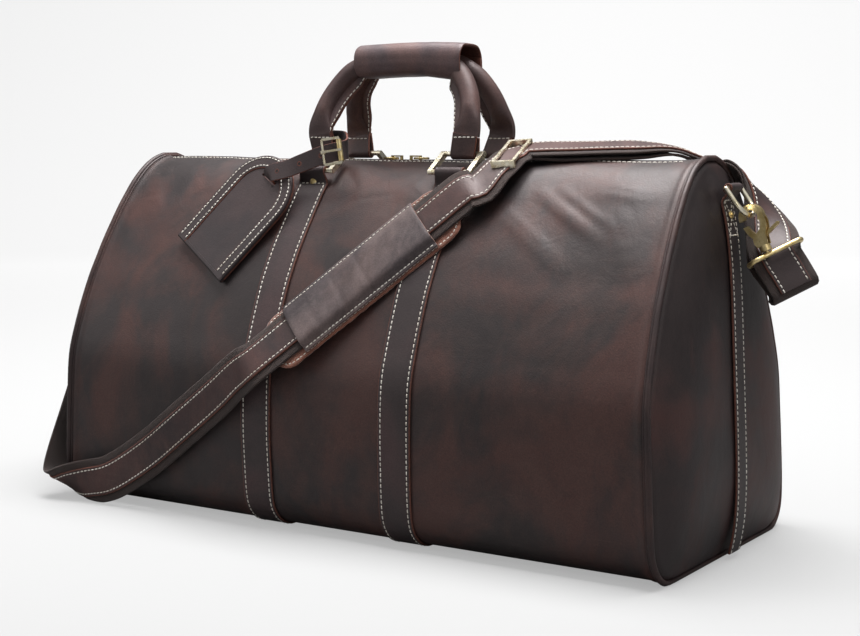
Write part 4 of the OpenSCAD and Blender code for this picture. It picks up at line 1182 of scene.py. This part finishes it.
def pad_base():
    """Suede base: a rounded rectangle with a hairy rim."""
    half_length_, half_width, radius = (SLEEVE_LENGTH + 52) / 2, 25.5, 16.0
    count, under, shift = 260, PAD_HEIGHT - 3.9, -1.0
    cx, cy = half_length_ - radius, half_width - radius
    corners = ((cx, cy, 0), (-cx, cy, 90), (-cx, -cy, 180), (cx, -cy, 270))
    outline = concatenate([arc((x, y), radius, a, a + 90, 16) for x, y, a in corners])
    outline = respace(concatenate([outline, outline[:1]]), count + 1)[:-1]
    t = np.roll(outline, -1, 0) - np.roll(outline, 1, 0)
    out = unit(columns(t[:, 1], -t[:, 0]))
    n = np.arange(count)
    hair = 0.35 * lattice_hash(n, n * 3, np.zeros(count, int)) + 0.5 * fbm(n / 4.0, 2.0)
    rings = []
    for offset, height in SUEDE_RIM:
        edge = outline + out * (offset + (hair[:, None] if offset > -1 else 0))
        wobble = 0.15 * fbm(outline[:, 0] / 7.0, outline[:, 1] / 7.0 + height, 0.0, 2)
        rings.append(pad_xyz(edge[:, 0], edge[:, 1] + shift, under + height + wobble))
    piece = Piece()
    piece.skin(array(rings))
    row = outline - out * 2.6
    row = pad_xyz(row[:, 0], row[:, 1] + shift, under + 2.2)
    piece.stitches(concatenate([row, row[:1]]), SLOPE_OUT, slot=1, pitch=3.6, length=2.4,
                   radius=0.42)
    piece.build("pad_suede_base", [SUEDE, THREAD], "shoulder_pad", "suede", ("pad_base",))


# Right half of the sleeve's columns, and its height by distance from the middle
SLEEVE_COLUMNS = [4, 8, 12, 15.5, 18.2, 19.6, 20.6, 21.4, 22.4, 23.4, 24.3, 24.6]
SLEEVE_AT = [0, 12, 15.5, 18.2, 20.0, 21.4, 22.4, 23.4, 24.3, 24.6]
SLEEVE_HEIGHT = [5.25, 5.1, 4.9, 3.9, 1.9, 0.75, 0.5, 0.55, 0.3, -0.2]


def pad_sleeve():
    """Leather sleeve: crowned over the strap, pressed flat along its stitched sides."""
    half = SLEEVE_LENGTH / 2
    across = array([-w for w in SLEEVE_COLUMNS[::-1]] + [0] + SLEEVE_COLUMNS)
    ends = array([half, half - 0.4, half - 1.3])
    along = np.unique(concatenate([-ends, linspace(-61, 61, 62), ends]))[:, None]
    creases = (0.55 * bell(along, -18, 1.6) + 0.5 * bell(along, 6, 1.5)
               + 0.3 * bell(along, -44, 2.2))
    puff = 0.5 * bell(along, 28, 24) + 0.35 * bell(along, -34, 20)
    inside = 1 - smoothstep(17, 21, np.abs(across))
    wobble = 0.35 * fbm(along / 14.0, across / 11.0, 4.0, 2)
    height = PAD_HEIGHT + np.interp(np.abs(across), SLEEVE_AT, SLEEVE_HEIGHT)
    height = height + inside * (puff - creases + wobble)
    height = height - 0.4 * (1 - smoothstep(0, 1.2, half - np.abs(along)))
    thick = np.where(np.abs(across) > 20.3, 1.0, 1.7)
    piece = Piece()
    piece.slab(pad_xyz(along, across, height), pad_xyz(along, across * 0.985, height - thick),
               inside=1, uv=columns(along, across, 0))
    for sg in (-1, 1):
        line = pad_xyz(linspace(-63, 63, 100), sg * 22.0, PAD_HEIGHT + 0.62)
        piece.stitches(line, SLOPE_OUT, pitch=3.7, length=2.7)
    piece.build("pad_leather_sleeve", [PAD, EDGE_PALE, THREAD], "shoulder_pad",
                "leather_strap", ("pad_sleeve",))


pad_base()
pad_sleeve()

# ---------------------------------------------------------------- luggage tag
# Tag places are x across it, v up from its folded bottom edge, height off the slope.
tag_xyz = on_slope((-146, 140.7), radians(-33))
TAG_RADIUS = 71.0 / 2  # half the width, and the radius of the arched top
TAG_LENGTH = 104.0
TAG_ARCH = TAG_LENGTH - TAG_RADIUS  # v of the arch's centre
SLOT_LOW, SLOT_HIGH, SLOT_HALF = 84.0, 88.6, 9.0
SLOT_COLUMN = 0.255  # column moved onto the slot's ends
TAG_ROWS = concatenate([
    [0, 0.4, 1.2], linspace(3, 80, 26), [82, 83.6, SLOT_LOW, SLOT_HIGH, 89.0, 91],
    linspace(93, TAG_LENGTH - 2.2, 9), [TAG_LENGTH - 1.0, TAG_LENGTH - 0.35]])
TAG_COLUMNS = np.unique(concatenate([linspace(-1, 1, 25),
                                     [-0.985, 0.985, -SLOT_COLUMN, SLOT_COLUMN]]))
TAG_JOIN = 176.3  # height where the two leaves meet
# Raised border of the front leaf: inset from the outline, height
TAG_BORDER = array([
    (0.0, 176.35), (0.05, 177.9), (0.7, 178.6), (2.3, 178.55), (4.6, 178.75), (7.0, 178.75),
    (9.3, 178.55), (10.9, 178.6), (11.6, 178.0), (11.7, 177.4)])


def tag_outline(inset, count, bottom=0.0):
    """Inverted U: up the left side, over the arch, down the right."""
    r = TAG_RADIUS - inset
    rise = linspace(bottom, TAG_ARCH, 24)[:-1]
    over = arc((0, TAG_ARCH), r, 180, 0, 40)
    return respace(concatenate([columns(-r, rise), over, columns(r, rise[::-1])]), count)


def tag_leaf(low, high, inset):
    """One leaf between two heights, with the slot left open."""
    v = TAG_ROWS[:, None]
    half = np.sqrt(np.maximum(TAG_RADIUS**2 - np.maximum(v - TAG_ARCH, 0) ** 2, 0.01)) - inset
    near_slot = (v > 82) & (v < 91) & (np.abs(np.abs(TAG_COLUMNS) - SLOT_COLUMN) < 1e-6)
    x = np.where(near_slot, np.copysign(SLOT_HALF, TAG_COLUMNS),
                 TAG_COLUMNS * np.maximum(half, 0.8))
    y = v + np.where(v < 1, inset, 0) + 0 * x
    rise = 0.25 * fbm(x / 18.0, y / 18.0, 1.0, 2)
    cell_v = (TAG_ROWS[:-1] + TAG_ROWS[1:]) / 2
    cell_x = (x[:-1, :-1] + x[:-1, 1:] + x[1:, :-1] + x[1:, 1:]) / 4
    in_slot = ((cell_v > SLOT_LOW) & (cell_v < SLOT_HIGH))[:, None] & (np.abs(cell_x) < SLOT_HALF)
    solid = np.pad(~in_slot, 1)  # a rim of empty cells all round
    cols = len(TAG_COLUMNS)
    n = x.size
    faces, slots = [], []
    for i, j in product(range(len(TAG_ROWS) - 1), range(cols - 1)):
        if not solid[i + 1, j + 1]:
            continue
        a, d = i * cols + j, (i + 1) * cols + j
        b, c = a + 1, d + 1
        faces += [(a, b, c, d), (n + a, n + d, n + c, n + b)]
        slots += [0, 0]
        neighbours = ((solid[i, j + 1], a, b), (solid[i + 2, j + 1], c, d),
                      (solid[i + 1, j], d, a), (solid[i + 1, j + 2], b, c))
        for filled, start, end in neighbours:
            if not filled:
                faces.append((end, start, n + start, n + end))
                slots.append(1)
    piece = Piece()
    piece.add(concatenate([tag_xyz(x, y, high + rise).reshape(-1, 3),
                           tag_xyz(x, y, low + rise).reshape(-1, 3)]),
              faces, slots, concatenate([columns(x, y, 0).reshape(-1, 3)] * 2))
    return piece


def tag_back():
    piece = tag_leaf(174.6, TAG_JOIN, inset=0.0)
    # folded bottom edge joins the two leaves: v, height round its section
    a = linspace(-pi / 2, pi / 2, 9)
    fold_v = np.append(0.6 - 1.9 * np.cos(a), [2.6, 2.6])
    fold_height = np.append(176.45 + 1.9 * np.sin(a), [178.3, 174.7])
    x = linspace(-TAG_RADIUS, TAG_RADIUS, 40)[:, None]
    piece.skin(tag_xyz(x, fold_v, fold_height))
    piece.build("tag_leather_back", [TAG, EDGE, THREAD], "luggage_tag", "leather_tag",
                ("tag_back",))


def tag_front():
    piece = tag_leaf(TAG_JOIN, 177.75, inset=8.5)
    lines = array([tag_outline(inset, 120) for inset in TAG_BORDER[:, 0]])
    rings = tag_xyz(lines[..., 0], lines[..., 1], TAG_BORDER[:, 1:]).swapaxes(0, 1)
    slots = [0, 1] + [0] * (len(TAG_BORDER) - 3) + [1]
    piece.skin(rings[:, ::-1], ring_slots=slots, cap_slot=1)
    for inset in (2.3, 9.3):
        row = tag_outline(inset, 160, bottom=2.5)
        piece.stitches(tag_xyz(row[:, 0], row[:, 1], 178.72), SLOPE_OUT, pitch=3.5, length=2.5,
                       radius=0.5)
    piece.build("tag_leather_front", [TAG, EDGE, THREAD], "luggage_tag", "leather_tag",
                ("tag_front",))


TAG_STRAP_WIDTH = [-0.84, 0.255, 0.48]
# The tag strap's middle line, through the slot and up to the buckle: point, width direction
TAG_STRAP_LINE = [
    [tag_xyz(0, 95.5, 172.0), TAG_STRAP_WIDTH], [tag_xyz(0, 90.2, 172.2), TAG_STRAP_WIDTH],
    [tag_xyz(0, 86.5, 174.4), TAG_STRAP_WIDTH], [tag_xyz(0, 86.1, 178.4), TAG_STRAP_WIDTH],
    [tag_xyz(1.5, 90, 182.2), [-0.75, 0.28, 0.6]], [[-80, -60, 279], [-0.5, 0.22, 0.84]],
    [[-66, -57.5, 284], [-0.33, 0.1, 0.94]], [[-50, -55.5, 289.5], [-0.28, 0.05, 0.96]],
    [[-39, -52.5, 292.5], [-0.2, 0.05, 0.98]], [[-33, -48, 294], [-0.12, 0.05, 0.99]],
    [[-32.6, -42.5, 295.5], [-0.1, 0.1, 0.99]], [[-38, -35, 298.5], [-0.1, 0.15, 0.98]],
    [[-48, -24.5, 301.5], [0, 0.2, 0.98]], [[-58, -16.6, 302.6], [0, 0.2, 0.98]],
    [[-68, -15.2, 303], [0, 0.2, 0.98]], [[-75.5, -16.6, 302.8], [0, 0.2, 0.98]]]
HOLE_STEPS = (36, 47, 57)  # path points that carry a hole
HOLE_RINGS = [(2.1, 0.86), (1.75, 0.98), (1.2, 0.90), (0.05, 0.88)]  # radius, height


def tag_strap():
    path = spline([row[0] for row in TAG_STRAP_LINE], 8)
    width = unit(spline([row[1] for row in TAG_STRAP_LINE], 8))
    piece = Piece()
    band = leather_band(piece, path, width, 7.4, low=-0.85, high=0.85, row=0.9, groove=0.0)
    # each hole is a shallow rim with a floor painted dark as the hole's shade, on both faces
    sides = 16
    angle = (np.arange(sides) * 2 * pi / sides)[:, None]
    for i, face in product(HOLE_STEPS, (1, -1)):
        circle = band.along[i] * np.cos(angle) + band.across[i] * np.sin(angle)
        rings = array([path[i] + circle * radius + band.out[i] * face * height
                       for radius, height in HOLE_RINGS])
        piece.skin(rings[:, ::face], slot=1)
        # the innermost band and cap take the painted shade of the hole
        piece.slots[-sides - 2 : -2] = [3] * sides  # innermost band
        piece.slots[-1] = 3  # innermost cap
    ob = piece.build("tag_leather_strap", [TAG, EDGE, THREAD, HOLE_SHADE], None, "leather_tag",
                     ("tag_strap",))
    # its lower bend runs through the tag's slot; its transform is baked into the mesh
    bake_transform(ob)


tag_back()
tag_front()
tag_strap()

# ---------------------------------------------------------------- CAD pieces kept as they are
# Nodes, material, bevel width in mm (0 for none), bevel segments
CAD_FINISH = [
    ("ring_front_left ring_front_right ring_back_left ring_back_right", BRASS_LIGHT, 0.35, 2),
    ("d_ring_left d_ring_right", BRASS_LIGHT, 0, 0),
    ("strap_adjuster tag_buckle_frame tag_buckle_prong", BRASS_LIGHT, 0.3, 2),
    ("tag_buckle_roller handle_rivets end_rivets wrap_studs wrap_caps hook_eye_left "
     "hook_eye_right hook_pins_left hook_pins_right", BRASS, 0, 0),
    ("hook_body_left hook_body_right hook_lever_left hook_lever_right", BRASS, 0.55, 3),
    ("zip_slider_left zip_slider_right", BRASS, 0.3, 2),
    ("zip_teeth_front zip_teeth_back", BRASS_ZIP, 0.2, 2),
    ("zip_pull_left zip_pull_right", BRASS, 0, 0),
    ("zip_end_tabs", TRIM, 0.4, 2),
    ("lining inner_pocket", LINING, 0, 0),
    ("base_board", BOARD, 0, 0),
]


def finish_cad(node, material, bevel, segments):
    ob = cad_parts[node]
    mesh = ob.data
    mesh.materials.clear()
    mesh.materials.append(material)
    if bevel:
        modifier = ob.modifiers.new("bevel", "BEVEL")
        modifier.width = bevel * MM
        modifier.segments = segments
        modifier.limit_method = "ANGLE"
        modifier.angle_limit = radians(40)
    mesh.polygons.foreach_set("use_smooth", [True] * len(mesh.polygons))
    mesh.set_sharp_from_angle(angle=radians(42))


for nodes, *finish in CAD_FINISH:
    for node_name in nodes.split():
        finish_cad(node_name, *finish)

# ---------------------------------------------------------------- stage, light, camera (metres)
scene = bpy.context.scene
scene.view_settings.view_transform = "Standard"
scene.view_settings.look = "None"
scene.view_settings.exposure = 0.0
DEPTH = (-0.545, 0.839)  # x, y direction away from the camera
FLOOR_GLOW = 0.33  # near glow of the floor
FAR_GLOW = 0.36  # added to it in the distance


def floor_material():
    m = Shader("stage_floor")
    # the camera sees the floor a little brighter than it lights the bag
    camera_ray = m.node("ShaderNodeLightPath").outputs["Is Camera Ray"]
    x, y, _ = m.separate(m.node("ShaderNodeNewGeometry").outputs["Position"])
    depth = m.math("ADD", m.times(x, DEPTH[0]), m.times(y, DEPTH[1]))
    # the ramp starts 0.6 m before the middle and is scaled to a 4 m run
    run = m.times(m.math("ADD", depth, 0.6), 0.25)
    far = m.times(m.ramp(run, low=0.0, high=0.8), FAR_GLOW)
    m.surface({"Base Color": (0.2, 0.2, 0.2, 1), "Roughness": 0.95, "Specular IOR Level": 0.05,
               "Emission Color": (1, 1, 1, 1),
               "Emission Strength": m.times(camera_ray, m.math("ADD", far, FLOOR_GLOW))})
    return m.material


def floor():
    """A floor that curves up into a back wall."""
    near, bend, radius, top, half_width, drop = -6, 3.0, 1.5, 7.0, 9, 0.0004
    material = floor_material()
    mesh = bpy.data.meshes.new("floor")
    profile = [(near, 0), (bend, 0)]
    profile += [(bend + radius * sin(a), radius - radius * cos(a))
                for a in linspace(0.1, pi / 2, 12)]
    profile.append((bend + radius, top))
    away, sideways = unit(DEPTH), array([DEPTH[1], -DEPTH[0]])
    points = [(*(away * run + sideways * u), z - drop)
              for u in (-half_width, half_width) for run, z in profile]
    n = len(profile)
    faces = [(i, n + i, n + i + 1, i + 1) for i in range(n - 1)]
    mesh.from_pydata(points, [], faces)
    mesh.polygons.foreach_set("use_smooth", [True] * len(faces))
    mesh.materials.append(material)
    new_object("floor", mesh)


def studio_world():
    """Grey from below, bright from above."""
    world = bpy.data.worlds.new("studio")
    scene.world = world
    world.use_nodes = True
    tree = world.node_tree
    background = tree.nodes["Background"]
    coords = tree.nodes.new("ShaderNodeTexCoord")
    split = tree.nodes.new("ShaderNodeSeparateXYZ")
    ramp = tree.nodes.new("ShaderNodeValToRGB")
    tree.links.new(coords.outputs["Generated"], split.inputs[0])
    tree.links.new(split.outputs[2], ramp.inputs[0])
    low, high = ramp.color_ramp.elements
    low.position, low.color = 0.0, (0.16, 0.16, 0.16, 1)
    high.position, high.color = 0.75, (0.85, 0.85, 0.85, 1)
    tree.links.new(ramp.outputs[0], background.inputs[0])
    background.inputs["Strength"].default_value = 0.8


def aim(ob, location, target):
    ob.location = location
    direction = Vector(target) - ob.location
    ob.rotation_euler = direction.to_track_quat("-Z", "Y").to_euler()


def area_light(name, location, target, size, power):
    light = bpy.data.lights.new(name, "AREA")
    light.energy = power
    light.shape = "RECTANGLE"
    light.size, light.size_y = size
    aim(new_object(name, light), location, target)


def camera():
    data = bpy.data.cameras.new("camera")
    data.lens = 66.98
    data.sensor_width = 36
    data.clip_end = 40
    ob = new_object("camera", data)
    aim(ob, location=(0.72026, -1.07725, 0.30164), target=(0.01863, 0, 0.1593))
    scene.camera = ob


floor()
studio_world()
area_light("key_top", location=(0.0, 0.15, 1.9), target=(0.0, 0.0, 0.2),
           size=(1.5, 1.1), power=96)
area_light("left_front", location=(-1.5, -1.3, 1.0), target=(-0.1, 0, 0.15),
           size=(0.9, 1.3), power=7)
area_light("right_front", location=(1.9, -0.9, 0.8), target=(0.2, 0, 0.12),
           size=(0.5, 1.2), power=4)
area_light("back_wall", location=(-0.6, 2.2, 2.6), target=(-1.6, 3.9, 0.7),
           size=(3.0, 2.0), power=90)
camera()
